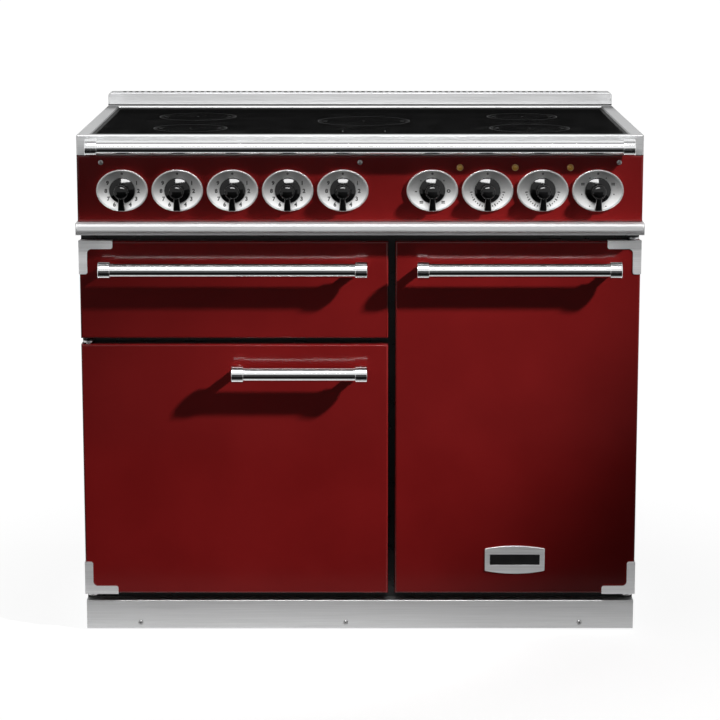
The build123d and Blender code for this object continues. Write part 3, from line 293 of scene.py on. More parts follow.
def cross_slot_screws():
    """A tree that sets a domed cross-slot screw head on every point, each turned by chance."""
    tree = bpy.data.node_groups.new("cross_slot_screws", "GeometryNodeTree")
    keys = inputs_of(tree, ("Points", "Geometry"), ("Head radius", "Float", 0.0045),
                     ("Head height", "Float", 0.0024), ("Slot width", "Float", 0.0011),
                     ("Facing", "Vector", (0.0, 0.0, 0.0)), ("Seed", "Int", 1), ("Finish", "Material"))
    given = tree.nodes.new("NodeGroupInput").outputs
    radius, height, slot = given["Head radius"], given["Head height"], given["Slot width"]
    ball = wire(tree, "GeometryNodeMeshUVSphere", Segments=HEAD_SEGMENTS, Rings=HEAD_RINGS, Radius=radius)
    squash = vector_of(tree, X=1.0, Y=1.0, Z=math_of(tree, "DIVIDE", height, radius))
    dome = wire(tree, "GeometryNodeTransform", Geometry=ball.outputs["Mesh"], Scale=squash)
    block = math_of(tree, "MULTIPLY", radius, UNDER_BLOCK)
    sunk = vector_of(tree, Z=math_of(tree, "MULTIPLY", block, -0.5))
    arm = math_of(tree, "MULTIPLY", radius, SLOT_REACH)
    deep = math_of(tree, "MULTIPLY", height, SLOT_DEPTH)
    lift = vector_of(tree, Z=height)
    head = tree.nodes.new("GeometryNodeMeshBoolean")
    head.operation = "DIFFERENCE"
    tree.links.new(dome.outputs["Geometry"], head.inputs[0])
    cuts = ((block, block, block, sunk), (arm, slot, deep, lift), (slot, arm, deep, lift))
    for wide, long, tall, place in cuts:
        cutter = wire(tree, "GeometryNodeMeshCube", Size=vector_of(tree, X=wide, Y=long, Z=tall))
        set_in = wire(tree, "GeometryNodeTransform", Geometry=cutter.outputs["Mesh"], Translation=place)
        tree.links.new(set_in.outputs["Geometry"], head.inputs[1])
    chance = tree.nodes.new("FunctionNodeRandomValue")
    chance.data_type = "FLOAT"
    chance.inputs[3].default_value = math.tau
    tree.links.new(given["Seed"], chance.inputs["Seed"])
    turn = wire(tree, "FunctionNodeEulerToRotation", Euler=vector_of(tree, Z=chance.outputs[1]))
    face = wire(tree, "FunctionNodeEulerToRotation", Euler=given["Facing"])
    stance = tree.nodes.new("FunctionNodeRotateRotation")
    stance.rotation_space = "LOCAL"
    tree.links.new(face.outputs[0], stance.inputs[0])
    tree.links.new(turn.outputs[0], stance.inputs[1])
    placed = wire(tree, "GeometryNodeInstanceOnPoints", Points=given["Points"],
                  Instance=head.outputs["Mesh"], Rotation=stance.outputs[0])
    end_tree(tree, "Screws", placed, given["Finish"])
    return tree, keys


def grown(points, maker, **sizes):
    """The plain mesh that a geometry tree makes from a list of points."""
    tree, keys = maker
    mesh = bpy.data.meshes.new("points")
    mesh.from_pydata([tuple(point) for point in points], [], [])
    working = bpy.data.objects.new("working", mesh)
    scene.collection.objects.link(working)
    growth = working.modifiers.new("growth", "NODES")
    growth.node_group = tree
    for name, value in sizes.items():
        growth[keys[name.replace("_", " ")]] = value
    return settled(working)


screw_maker = cross_slot_screws()
FACE_FRONT = (math.pi / 2, 0.0, 0.0)
FACE_BACK = (-math.pi / 2, 0.0, 0.0)

smoothed("back_panel", galvanised_steel)
smoothed("mains_inlet", black_plastic)
back_low, back_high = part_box("back_panel")
inlet_low, inlet_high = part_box("mains_inlet")
BACK_EDGE, BACK_ROWS, BACK_COLUMNS = 0.012, 5, 6
LID_EDGE, LID_DROP = 0.009, 0.06
back_screws = []
for row in range(BACK_ROWS):
    z = back_low.z + BACK_EDGE + row / (BACK_ROWS - 1) * (back_high.z - back_low.z - 2 * BACK_EDGE)
    back_screws += [(x, back_high.y, z) for x in (back_low.x + BACK_EDGE, back_high.x - BACK_EDGE)]
for column in range(1, BACK_COLUMNS - 1):
    x = back_low.x + BACK_EDGE + column / (BACK_COLUMNS - 1) * (back_high.x - back_low.x - 2 * BACK_EDGE)
    back_screws += [(x, back_high.y, z) for z in (back_low.z + BACK_EDGE, back_high.z - BACK_EDGE)]
stand("back_panel_screws",
      grown(back_screws, screw_maker, Head_radius=0.004, Head_height=0.002, Facing=FACE_BACK, Seed=3,
            Finish=hinge_steel),
      hinge_steel, "chassis", "hinge_steel")
inlet_screws = [(x, inlet_high.y, z) for x in (inlet_low.x + LID_EDGE, inlet_high.x - LID_EDGE)
                for z in (inlet_high.z - LID_EDGE, inlet_high.z - LID_DROP)]
stand("mains_inlet_screws",
      grown(inlet_screws, screw_maker, Head_radius=0.003, Head_height=0.0014, Slot_width=0.0008,
            Facing=FACE_BACK, Seed=5, Finish=hinge_steel),
      hinge_steel, "chassis", "hinge_steel")

# Oven and grill cavities: welded boxes with a hard dark enamel, speckled with pale flecks, so
# that it can be wiped clean. The seals round their mouths are grey-black silicone.
cavity_enamel = new_finish("cavity_enamel", (0.022, 0.023, 0.027), 0.2)
fleck = grain(cavity_enamel, 900.0, detail=1.0)
ground = tint(cavity_enamel, grain(cavity_enamel, 12.0), (0.018, 0.019, 0.022), (0.03, 0.031, 0.036))
tint(cavity_enamel, fleck, ground, (0.3, 0.31, 0.33), 0.66, 0.7)
dull(cavity_enamel, grain(cavity_enamel, 40.0), 0.14, 0.28)
relief(cavity_enamel, grain(cavity_enamel, 350.0), 0.05, 0.0005)
for node in ("grill_cavity", "left_oven_cavity", "right_oven_cavity"):
    smoothed(node, cavity_enamel)

seal_rubber = new_finish("seal_rubber", (0.013, 0.013, 0.0132), 0.7)
tint(seal_rubber, grain(seal_rubber, 90.0), (0.009, 0.009, 0.0092), (0.02, 0.02, 0.0205))
dull(seal_rubber, grain(seal_rubber, 200.0), 0.6, 0.8)
relief(seal_rubber, grain(seal_rubber, 1500.0), 0.1, 0.0003)
smoothed("door_seals", seal_rubber)

# Heating elements, fans and fan covers: bent sheathed rods that have browned with heat, and
# pressed steel fan wheels behind enamelled covers in the oven backs.
element_steel = new_finish("element_steel", (0.13, 0.115, 0.105), 0.5, metal=1.0)
browning = grain(element_steel, 18.0, detail=5.0)
tint(element_steel, browning, (0.07, 0.06, 0.056), (0.22, 0.19, 0.165))
dull(element_steel, grain(element_steel, 120.0), 0.4, 0.62)
relief(element_steel, grain(element_steel, 1200.0), 0.1, 0.0003)
smoothed("heating_elements", element_steel)

aluminium = new_finish("aluminium", (0.62, 0.63, 0.64), 0.36, metal=1.0)
rolling = grain(aluminium, 1.0, (8, 500, 500))
tint(aluminium, rolling, (0.54, 0.55, 0.56), (0.68, 0.69, 0.7))
dull(aluminium, rolling, 0.3, 0.45)
relief(aluminium, rolling, 0.05, 0.0003)
for node in ("left_oven_fan", "right_oven_fan"):
    smoothed(node, aluminium)
smoothed("fan_covers", cavity_enamel)
smoothed("fan_motors", galvanised_steel)

# Shelf ladders and wire shelves: bright chromed wire, welded at every crossing. The grill pan is
# pressed steel in speckled blue-black enamel, with a wire trivet of its own.
bright_wire = new_finish("bright_wire", (0.66, 0.67, 0.68), 0.16, metal=1.0)
tint(bright_wire, grain(bright_wire, 25.0), (0.56, 0.57, 0.58), (0.72, 0.73, 0.74))
dull(bright_wire, grain(bright_wire, 150.0), 0.1, 0.24)
relief(bright_wire, grain(bright_wire, 900.0), 0.03, 0.0002)
smoothed("shelf_runners", bright_wire)
smoothed("oven_shelves", bright_wire)

pan_enamel = new_finish("pan_enamel", (0.02, 0.024, 0.032), 0.18)
pan_fleck = grain(pan_enamel, 1100.0, detail=1.0)
pan_ground = tint(pan_enamel, grain(pan_enamel, 20.0), (0.016, 0.019, 0.026), (0.028, 0.033, 0.043))
tint(pan_enamel, pan_fleck, pan_ground, (0.36, 0.38, 0.42), 0.66, 0.7)
dull(pan_enamel, grain(pan_enamel, 50.0), 0.12, 0.26)
relief(pan_enamel, grain(pan_enamel, 300.0), 0.06, 0.0005)
smoothed("grill_pan", pan_enamel)

# Induction unit and switches: flat coils of copper strand on an aluminium tray under the glass,
# and cream moulded rotary switches behind the fascia. None of it shows with the cooker closed.
coil_copper = new_finish("coil_copper", (0.45, 0.2, 0.1), 0.4, metal=1.0)
strands = grain(coil_copper, 1.0, (900, 900, 60))
tint(coil_copper, strands, (0.3, 0.12, 0.06), (0.56, 0.27, 0.15))
dull(coil_copper, strands, 0.3, 0.5)
relief(coil_copper, strands, 0.2, 0.0005)
dress("induction_coils", coil_copper)
dress("induction_casing", aluminium)

switch_plastic = new_finish("switch_plastic", (0.62, 0.57, 0.47), 0.5)
tint(switch_plastic, grain(switch_plastic, 40.0), (0.54, 0.49, 0.4), (0.66, 0.61, 0.52))
dull(switch_plastic, grain(switch_plastic, 80.0), 0.42, 0.6)
relief(switch_plastic, grain(switch_plastic, 1400.0), 0.08, 0.0003)
dress("rotary_switches", switch_plastic)

# Doors: skins of pressed steel in deep red vitreous enamel, fired to a gloss with a faint orange
# peel and thinner at the folded edges. Dark enamelled liners close their backs.


def edge_share(finish, radius):
    """Near 1 where a face turns round an edge, 0 on the flat."""
    tree = finish.node_tree
    rounded = wire(tree, "ShaderNodeBevel", Radius=radius)
    rounded.samples = 4
    flat = wire(tree, "ShaderNodeNewGeometry").outputs["Normal"]
    along = tree.nodes.new("ShaderNodeVectorMath")
    along.operation = "DOT_PRODUCT"
    tree.links.new(rounded.outputs["Normal"], along.inputs[0])
    tree.links.new(flat, along.inputs[1])
    return spread(finish, along.outputs["Value"], 0.995, 0.85, 0.0, 1.0)


red_enamel = new_finish("red_enamel", (0.171, 0.0075, 0.0077), 0.1, gloss=0.25)
red_ground = tint(red_enamel, grain(red_enamel, 7.0), (0.159, 0.0068, 0.007), (0.181, 0.0082, 0.0084))
tint(red_enamel, edge_share(red_enamel, 0.004), red_ground, (0.11, 0.0045, 0.005), 0.0, 1.0)
dull(red_enamel, grain(red_enamel, 35.0), 0.12, 0.17)
relief(red_enamel, grain(red_enamel, 420.0), 0.0008, 0.0004)
for door in ("grill_door", "left_oven_door", "right_oven_door"):
    smoothed(door + "_skin", red_enamel)
    smoothed(door + "_liner", cavity_enamel)
smoothed("door_hinges", hinge_steel)

# Door corners and badge: satin stainless pressings on the outer corners of the doors, and a
# bowed steel plate low on the tall door, with a plain black enamelled field let into it.


def brushed(name, dark, light, smooth=0.42, rough=0.53):
    """Stainless sheet with fine grinding lines along its length."""
    finish = new_finish(name, [(dark + light) / 2] * 3, (smooth + rough) / 2, metal=1.0)
    streaks = grain(finish, 1.0, (7, 1100, 1100), detail=4.0)
    tint(finish, streaks, (dark, 1.006 * dark, 1.013 * dark), (light, 1.006 * light, 1.013 * light), 0.3, 0.7)
    dull(finish, streaks, smooth, rough)
    relief(finish, grain(finish, 1.0, (30, 3500, 3500)), 0.06, 0.0002)
    return finish


# Painted light: the corners and badge plate use a much paler copy of the brushed stainless, which brightens
# them.
fitting_steel_painted_light = brushed("fitting_steel_painted_light", 0.78, 0.9)
for node in ("grill_door_corner", "left_oven_door_corner", "right_oven_door_corners", "badge_plate"):
    smoothed(node, fitting_steel_painted_light)


def rounded_slab(shape, low, high, radius, sides=6):
    """A flat slab facing the front, its four corners rounded, added to a mesh in work."""
    rim = []
    for right, up, start in ((1, 1, 0.0), (-1, 1, 0.25), (-1, -1, 0.5), (1, -1, 0.75)):
        cx = (high.x if right > 0 else low.x) - right * radius
        cz = (high.z if up > 0 else low.z) - up * radius
        for n in range(sides + 1):
            angle = math.tau * (start + 0.25 * n / sides)
            rim.append((cx + radius * math.cos(angle), cz + radius * math.sin(angle)))
    front = [shape.verts.new((x, low.y, z)) for x, z in rim]
    back = [shape.verts.new((x, high.y, z)) for x, z in rim]
    shape.faces.new(front)
    shape.faces.new(reversed(back))
    for n in range(len(rim)):
        shape.faces.new((front[n - 1], front[n], back[n], back[n - 1]))


def mesh_of(shape, name, sharp=35):
    """A plain mesh from a mesh in work, faces outward and round faces smooth."""
    bmesh.ops.recalc_face_normals(shape, faces=shape.faces)
    mesh = bpy.data.meshes.new(name)
    shape.to_mesh(mesh)
    shape.free()
    mesh.shade_smooth()
    mesh.set_sharp_from_angle(angle=math.radians(sharp))
    return mesh


badge_low, badge_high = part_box("badge_plate")
FIELD_HALF = Vector((0.0449, 0.0, 0.0094))
FIELD_CORNER, FIELD_FRONT, FIELD_BACK = 0.0012, 0.0004, 0.0009
field_low = (badge_low + badge_high) / 2 - FIELD_HALF
field_high = (badge_low + badge_high) / 2 + FIELD_HALF
field_low.y = badge_low.y + FIELD_FRONT
field_high.y = badge_low.y + FIELD_BACK
badge_field = bmesh.new()
rounded_slab(badge_field, field_low, field_high, FIELD_CORNER)
stand("badge_field", mesh_of(badge_field, "badge_field"), black_enamel, "right_oven_door", "black_enamel")

# Handles and hand rail: polished stainless tube in turned end caps with fine grooves, each cap on
# a round post screwed through the door or the hob rim.


def loft(shape, rings, closed=False):
    """Skin a run of rings of points, with flat ends unless the run closes on itself."""
    rows = [[shape.verts.new(point) for point in ring] for ring in rings]
    pairs = list(zip(rows, rows[1:])) + ([(rows[-1], rows[0])] if closed else [])
    for near, far in pairs:
        for n in range(len(near)):
            shape.faces.new((near[n - 1], near[n], far[n], far[n - 1]))
    if not closed:
        shape.faces.new(rows[0])
        shape.faces.new(rows[-1])


def turned(shape, outline, start, along, sides=56):
    """A lathe-turned solid from pairs of reach along the axis and radius."""
    along = Vector(along).normalized()
    across = along.orthogonal().normalized()
    over = along.cross(across)
    turns = [math.tau * n / sides for n in range(sides)]
    spokes = [math.cos(turn) * across + math.sin(turn) * over for turn in turns]
    loft(shape, [[Vector(start) + along * reach + spoke * radius for spoke in spokes]
                 for reach, radius in outline])


def grooved_cap(length, radius, grooves=5, depth=0.00035, ease=0.0012, share=0.16, steps=6):
    """The outline of a turned cap with rounded ends and fine grooves round its middle."""
    end = [(0.0, radius - 2.2 * ease)]
    for n in range(steps + 1):
        angle = math.pi / 2 * n / steps
        end.append((ease * (1 - math.cos(angle)), radius - ease + ease * math.sin(angle)))
    outline = list(end)
    pitch = (length - 4 * ease) / grooves
    width = share * pitch
    for n in range(grooves):
        middle = 2 * ease + (n + 0.5) * pitch
        outline += [(middle - width, radius), (middle - width / 2, radius - depth),
                    (middle + width / 2, radius - depth), (middle + width, radius)]
    return outline + [(length - reach, size) for reach, size in reversed(end)]


polished_steel = new_finish("polished_steel", (0.8, 0.805, 0.81), 0.09, metal=1.0)
smears = grain(polished_steel, 16.0, (0.25, 1, 1), detail=5.0)
tint(polished_steel, smears, (0.76, 0.765, 0.77), (0.84, 0.845, 0.85))
dull(polished_steel, smears, 0.08, 0.092)

CAP_LENGTH = 0.021
POST_RADIUS, POST_SIDES = 0.0075, 40
BAR_RADIUS = 0.012
BAR_EASE = 0.001
for handle, body in (("hand_rail", "chassis"), ("grill_handle", "grill_door"),
                     ("left_oven_handle", "left_oven_door"), ("right_oven_handle", "right_oven_door")):
    bar_low, bar_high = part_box(handle + "_bar")
    axis_y, axis_z = bar_low.y + BAR_RADIUS, bar_low.z + BAR_RADIUS
    tube = bmesh.new()
    length = bar_high.x - bar_low.x
    turned(tube, [(0, BAR_RADIUS - BAR_EASE), (BAR_EASE, BAR_RADIUS), (length - BAR_EASE, BAR_RADIUS),
                  (length, BAR_RADIUS - BAR_EASE)], (bar_low.x, axis_y, axis_z), (1, 0, 0))
    stand(handle + "_tube", mesh_of(tube, handle + "_tube"), polished_steel, body, "polished_steel",
          handle + "_bar")
    caps_low, caps_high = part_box(handle + "_posts")
    cap_radius = axis_y - caps_low.y
    caps = bmesh.new()
    for x in (caps_low.x, caps_high.x - CAP_LENGTH):
        turned(caps, grooved_cap(CAP_LENGTH, cap_radius), (x, axis_y, axis_z), (1, 0, 0))
        reach = caps_high.y - axis_y
        turned(caps, [(BAR_RADIUS / 3, POST_RADIUS), (reach, POST_RADIUS)],
               (x + CAP_LENGTH / 2, axis_y, axis_z), (0, 1, 0), POST_SIDES)
    stand(handle + "_caps", mesh_of(caps, handle + "_caps"), polished_steel, body, "polished_steel",
          handle + "_posts")

# Plinth and fascia trim: brushed stainless strips, a kick plate under the doors with three
# screws, and a bull-nosed strip between the doors and the fascia.
brushed_steel = brushed("brushed_steel", 0.44, 0.54)
smoothed("plinth", brushed_steel)
# Painted light: the trim's steel is a paler copy of the brushed stainless, which brightens the trim.
smoothed("fascia_trim", brushed("trim_steel_painted_lighter", 0.49, 0.58, 0.6, 0.68))

# Control fascia: pressed steel in the same red enamel as the doors, screwed to the frame under
# the hob rim with three domed screws; the plinth has three more of them.
smoothed("control_fascia", red_enamel)
fascia_low, fascia_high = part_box("control_fascia")
plinth_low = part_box("plinth")[0]
SCREW_DROP, SCREW_INSET = 0.013, 0.0425
PLINTH_SCREW_Z, PLINTH_SCREWS = 0.015, (-0.398, -0.026, 0.398)
front_screws = [(x, fascia_low.y, fascia_high.z - SCREW_DROP)
                for x in (fascia_low.x + SCREW_INSET, 0.0, fascia_high.x - SCREW_INSET)]
front_screws += [(x, plinth_low.y, PLINTH_SCREW_Z) for x in PLINTH_SCREWS]
screw_steel = new_finish("screw_steel", (0.3, 0.3, 0.3), 0.32, metal=1.0)
tint(screw_steel, grain(screw_steel, 400.0), (0.24, 0.24, 0.24), (0.36, 0.36, 0.36))
dull(screw_steel, grain(screw_steel, 900.0), 0.26, 0.4)
stand("front_screw_heads",
      grown(front_screws, screw_maker, Slot_width=0.0018, Facing=FACE_FRONT, Seed=8, Finish=screw_steel),
      screw_steel, "chassis", "hinge_steel", "front_screws")

# Neon lamps: amber plastic lenses with a rounded collar of paler plastic, pushed through holes in
# the fascia until they snap in. They glow when an oven or the grill is heating.
amber_lens = new_finish("amber_lens", (0.87, 0.5, 0.06), 0.16)
tint(amber_lens, grain(amber_lens, 260.0), (0.78, 0.41, 0.04), (0.94, 0.58, 0.09))
dull(amber_lens, grain(amber_lens, 500.0), 0.1, 0.24)
relief(amber_lens, crystals(amber_lens, 700.0), 0.25, 0.0003)
amber_collar = new_finish("amber_collar", (0.8, 0.47, 0.16), 0.24)
tint(amber_collar, grain(amber_collar, 300.0), (0.72, 0.4, 0.12), (0.88, 0.54, 0.2))
dull(amber_collar, grain(amber_collar, 500.0), 0.18, 0.32)
lamp_low, lamp_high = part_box("neon_lamps")
LAMP_RADIUS = 0.006
LENS_RADIUS = 0.0042
LENS_SIDE, LENS_DOME = 0.0018, 0.0017
COLLAR_HEIGHT = 0.0017
LAMP_SIDES, LENS_SIDES = 32, 20
lamp_z = lamp_high.z - LAMP_RADIUS
lamp_pitch = (lamp_high.x - lamp_low.x - 2 * LAMP_RADIUS) / 2
lamp_xs = [lamp_low.x + LAMP_RADIUS + n * lamp_pitch for n in range(3)]


def oval_arc(reach, radius, along, across, start, end, steps=8):
    """Points of a round stretch in a turned outline: its centre, its two half sizes and its angles."""
    angles = [math.radians(start + (end - start) * n / steps) for n in range(steps + 1)]
    return [(reach + along * math.sin(angle), radius + across * math.cos(angle)) for angle in angles]


def upright_ring(x, z, wide, tall, out, sides):
    """Points of an oval that faces the front, standing out of the fascia."""
    turns = [math.tau * n / sides for n in range(sides)]
    return [(x + wide * math.cos(turn), fascia_low.y - out, z + tall * math.sin(turn)) for turn in turns]


collar_middle = (LAMP_RADIUS + LENS_RADIUS) / 2
collar_half = (LAMP_RADIUS - LENS_RADIUS) / 2
collar_outline = oval_arc(0.0, collar_middle, COLLAR_HEIGHT, collar_half, 0, 180)
lenses, collars = bmesh.new(), bmesh.new()
for x in lamp_xs:
    turned(lenses, [(0.0, LENS_RADIUS)] + oval_arc(LENS_SIDE, 0.0, LENS_DOME, LENS_RADIUS, 0, 80, 6),
           (x, fascia_low.y, lamp_z), (0, -1, 0), LENS_SIDES)
    loft(collars, [upright_ring(x, lamp_z, size, size, out, LAMP_SIDES) for out, size in collar_outline],
         closed=True)
stand("lamp_lenses", mesh_of(lenses, "lamp_lenses", 25), amber_lens, "chassis", "amber_lens", "neon_lamps")
stand("lamp_collars", mesh_of(collars, "lamp_collars"), amber_collar, "chassis", "amber_lens")

# Dial plates: oval dishes spun from stainless sheet with a rolled rim, fine turning marks and
# plain numbers or ticks printed in black round each knob.
dial_low, dial_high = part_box("dial_plates")
DIAL_WIDE, DIAL_TALL = 0.045, (dial_high.z - dial_low.z) / 2
KNOB_PITCH = 0.0965
dial_z = (dial_low.z + dial_high.z) / 2
first_dial, last_dial = dial_low.x + DIAL_WIDE, dial_high.x - DIAL_WIDE
hob_dials = [first_dial + n * KNOB_PITCH for n in range(5)]
oven_dials = [last_dial - n * KNOB_PITCH for n in (3, 2, 1, 0)]
RIM_INSET, RIM_OUT = 0.0016, 0.0055
RIM_WIDE, RIM_TALL = DIAL_WIDE - RIM_INSET, DIAL_TALL - RIM_INSET
WELL_WIDE, WELL_TALL, WELL_OUT = 0.021, 0.0205, 0.0016
DISH_BEND = 1.12
ROLL_OUT, ROLL_HALF = 0.005, 0.0005
SPINDLE_HOLE = 0.0055
DISH_SIDES, DISH_STEPS = 96, 10


def dish_ring(share):
    """Half width, half height and depth of the dish between its well and its rim."""
    return (WELL_WIDE + share * (RIM_WIDE - WELL_WIDE), WELL_TALL + share * (RIM_TALL - WELL_TALL),
            WELL_OUT + share ** DISH_BEND * (RIM_OUT - WELL_OUT))


HALVINGS = 24


def dish_out(x, z):
    """How far the dish stands out of the fascia at a place beside its middle."""
    low, high = 0.0, 1.0
    if (x / WELL_WIDE) ** 2 + (z / WELL_TALL) ** 2 <= 1.0:
        return WELL_OUT
    for _ in range(HALVINGS):
        share = (low + high) / 2
        wide, tall, out = dish_ring(share)
        low, high = (share, high) if (x / wide) ** 2 + (z / tall) ** 2 > 1.0 else (low, share)
    return out


dial_steel = new_finish("dial_steel", (0.8, 0.8, 0.795), 0.33, metal=1.0)
spinning = grain(dial_steel, 1.0, (400, 2500, 2500), detail=2.0)
tint(dial_steel, spinning, (0.75, 0.75, 0.745), (0.83, 0.83, 0.825), 0.3, 0.7)
dull(dial_steel, spinning, 0.3, 0.35)
dishes = bmesh.new()
dish_outline = [(DIAL_WIDE, DIAL_TALL, 0.0)]
for out, inset in oval_arc(ROLL_OUT, ROLL_HALF, RIM_OUT + ROLL_HALF / 2 - ROLL_OUT, -ROLL_HALF, 0, 150):
    dish_outline.append((DIAL_WIDE - inset, DIAL_TALL - inset, out))
dish_outline += [dish_ring(1 - n / DISH_STEPS) for n in range(DISH_STEPS + 1)]
dish_outline += [(SPINDLE_HOLE, SPINDLE_HOLE, WELL_OUT), (SPINDLE_HOLE, SPINDLE_HOLE, 0.0)]
for x in hob_dials + oven_dials:
    loft(dishes, [upright_ring(x, dial_z, wide, tall, out, DISH_SIDES) for wide, tall, out in dish_outline],
         closed=True)
stand("dial_dishes", mesh_of(dishes, "dial_dishes", 50), dial_steel, "chassis", "dial_steel", "dial_plates")

dial_print = new_finish("dial_print", (0.012, 0.012, 0.012), 0.45)
tint(dial_print, grain(dial_print, 400.0), (0.008, 0.008, 0.008), (0.03, 0.03, 0.03))
dull(dial_print, grain(dial_print, 300.0), 0.4, 0.55)
PRINT_T, PRINT_BOLD = 0.0001, 0.0004


def printed(text, size):
    """The outline of a printed mark as a thin mesh lying flat at the origin."""
    words = bpy.data.curves.new("mark", "FONT")
    words.body = text
    words.size = size
    words.align_x = "CENTER"
    words.align_y = "CENTER"
    words.extrude = PRINT_T / 2
    words.offset = PRINT_BOLD
    words.resolution_u = 4
    holder = bpy.data.objects.new("mark", words)
    scene.collection.objects.link(holder)
    return settled(holder)


def lay_on_dish(shape, mesh, dial_x, x, z):
    """Add a flat mark to a mesh in work, bent to lie on a dish at a place beside its middle."""
    start = len(shape.verts)
    shape.from_mesh(mesh)
    shape.verts.ensure_lookup_table()
    for vert in shape.verts[start:]:
        across, up, out = x + vert.co.x, z + vert.co.y, vert.co.z
        vert.co = (dial_x + across, fascia_low.y - dish_out(across, up) - PRINT_T / 2 - out, dial_z + up)


def around(degrees, radius):
    """A place on a dial, clockwise from the top."""
    angle = math.radians(degrees)
    return radius * math.sin(angle), radius * math.cos(angle)


def ring_of_marks():
    """A tree that sets a ring of small bars round every point, each nth one longer."""
    tree = bpy.data.node_groups.new("ring_of_marks", "GeometryNodeTree")
    keys = inputs_of(tree, ("Points", "Geometry"), ("Count", "Int", 12), ("Radius", "Float", 0.03),
                     ("Start", "Float", 0.0), ("Step", "Float", 0.5), ("Length", "Float", 0.001),
                     ("Width", "Float", 0.001), ("Thickness", "Float", 0.0001),
                     ("Long every", "Int", 3), ("Long by", "Float", 1.0), ("Finish", "Material"))
    given = tree.nodes.new("NodeGroupInput").outputs
    order = wire(tree, "GeometryNodeInputIndex").outputs[0]
    angle = math_of(tree, "ADD", given["Start"], math_of(tree, "MULTIPLY", order, given["Step"]))
    place = vector_of(tree, X=math_of(tree, "MULTIPLY", given["Radius"], math_of(tree, "SINE", angle)),
                      Y=math_of(tree, "MULTIPLY", given["Radius"], math_of(tree, "COSINE", angle)))
    row = wire(tree, "GeometryNodeMeshLine", Count=given["Count"])
    ring = wire(tree, "GeometryNodeSetPosition", Geometry=row.outputs["Mesh"], Position=place)
    bar = wire(tree, "GeometryNodeMeshCube",
               Size=vector_of(tree, X=given["Width"], Y=given["Length"], Z=given["Thickness"]))
    short = math_of(tree, "MINIMUM", math_of(tree, "MODULO", order, given["Long every"]), 1.0)
    longer = math_of(tree, "SUBTRACT", given["Long by"],
                     math_of(tree, "MULTIPLY", short, math_of(tree, "SUBTRACT", given["Long by"], 1.0)))
    spin = wire(tree, "FunctionNodeEulerToRotation",
                Euler=vector_of(tree, Z=math_of(tree, "MULTIPLY", angle, -1.0)))
    marks = wire(tree, "GeometryNodeInstanceOnPoints", Points=ring.outputs["Geometry"],
                 Instance=bar.outputs["Mesh"], Rotation=spin.outputs[0],
                 Scale=vector_of(tree, X=1.0, Y=longer, Z=1.0))
    rings = wire(tree, "GeometryNodeInstanceOnPoints", Points=given["Points"],
                 Instance=marks.outputs["Instances"])
    end_tree(tree, "Marks", rings, given["Finish"])
    return tree, keys


ring_maker = ring_of_marks()
NUMBER_R, NUMBER_SIZE = 0.0285, 0.0096
NUMBERS, NUMBER_FROM, NUMBER_STEP = 9, 63, 29.25
SIGN_SIZE = 0.012
OFF_R, DOT_BARS = 0.0297, 8
TICKS, TICKS_FROM, TICKS_SWEEP = 19, 96, 168
FUNCTION_SIGNS = ((90, "o"), (138, "="), (222, "="), (268, "-"), (45, "."), (315, "."))
GRILL_SIGNS = ((30, "."), (68, "="), (98, "."), (150, "."))
figures = bmesh.new()
for x in hob_dials:
    for n in range(NUMBERS):
        place = around(NUMBER_FROM + n * NUMBER_STEP, NUMBER_R)
        lay_on_dish(figures, printed(str(n + 1), NUMBER_SIZE), x, *place)
dot = grown([(0, 0, 0)], ring_maker, Count=DOT_BARS, Radius=0.0012, Step=math.tau / DOT_BARS, Length=0.0015,
            Width=0.0012, Thickness=PRINT_T, Long_every=1, Finish=dial_print)
for x in hob_dials + oven_dials:
    lay_on_dish(figures, dot, x, 0.0, OFF_R)
ticks = grown([(0, 0, 0)], ring_maker, Count=TICKS, Radius=NUMBER_R, Start=math.radians(TICKS_FROM),
              Step=math.radians(TICKS_SWEEP / (TICKS - 1)), Length=0.0021, Width=0.0019, Thickness=PRINT_T,
              Long_every=3, Long_by=2.2, Finish=dial_print)
for x in oven_dials[1:3]:
    lay_on_dish(figures, ticks, x, 0.0, 0.0)
for degrees, mark in FUNCTION_SIGNS:
    lay_on_dish(figures, printed(mark, SIGN_SIZE), oven_dials[0], *around(degrees, NUMBER_R))
for side in (-1, 1):
    for degrees, mark in GRILL_SIGNS:
        lay_on_dish(figures, printed(mark, SIGN_SIZE), oven_dials[3], *around(side * degrees, NUMBER_R))
figure_mesh = bpy.data.meshes.new("dial_figures")
figures.to_mesh(figure_mesh)
figures.free()
stand("dial_figures", figure_mesh, dial_print, "chassis", "knob_black")

# Knobs: black gloss mouldings, a skirt and a boss with a lever down to the rim of the dial, so
# that the lever is the pointer. Each is pushed on the spindle of its own switch.
knob_black = new_finish("knob_black", (0.005, 0.005, 0.0052), 0.08, gloss=0.26)
tint(knob_black, grain(knob_black, 60.0), (0.004, 0.004, 0.0042), (0.0065, 0.0065, 0.0068))
dull(knob_black, grain(knob_black, 220.0), 0.06, 0.11)
relief(knob_black, grain(knob_black, 900.0), 0.006, 0.0003)
SKIRT_RADIUS, SKIRT_BACK, SKIRT_EDGE, SKIRT_EASE = 0.0225, 0.0031, 0.0052, 0.0008
SKIRT_BOW, SKIRT_STEEP, SKIRT_FLAT = 0.082, 60.0, 67.0
BOSS_RADIUS, BOSS_FRONT = 0.0127, 0.029
KNOB_FRONT = 0.036
KNOB_SIDES = 64
LEVER_TOP, LEVER_DROP, LEVER_EASE = 0.002, 0.0335, 0.0014
LEVER_WIDE, LEVER_FLARE = 0.0084, 0.004
LEVER_BACK, LEVER_LEAN = 0.008, 0.0014
LEVER_FRONT, LEVER_FALL, LEVER_BEND = 0.0335, 0.0085, 1.25
LEVER_SIDES, LEVER_SQUARE = 28, 0.45
SPINDLE_RADIUS, SPINDLE_LENGTH, SPINDLE_BACK, SPINDLE_SIDES = 0.003, 0.02, 0.016, 24
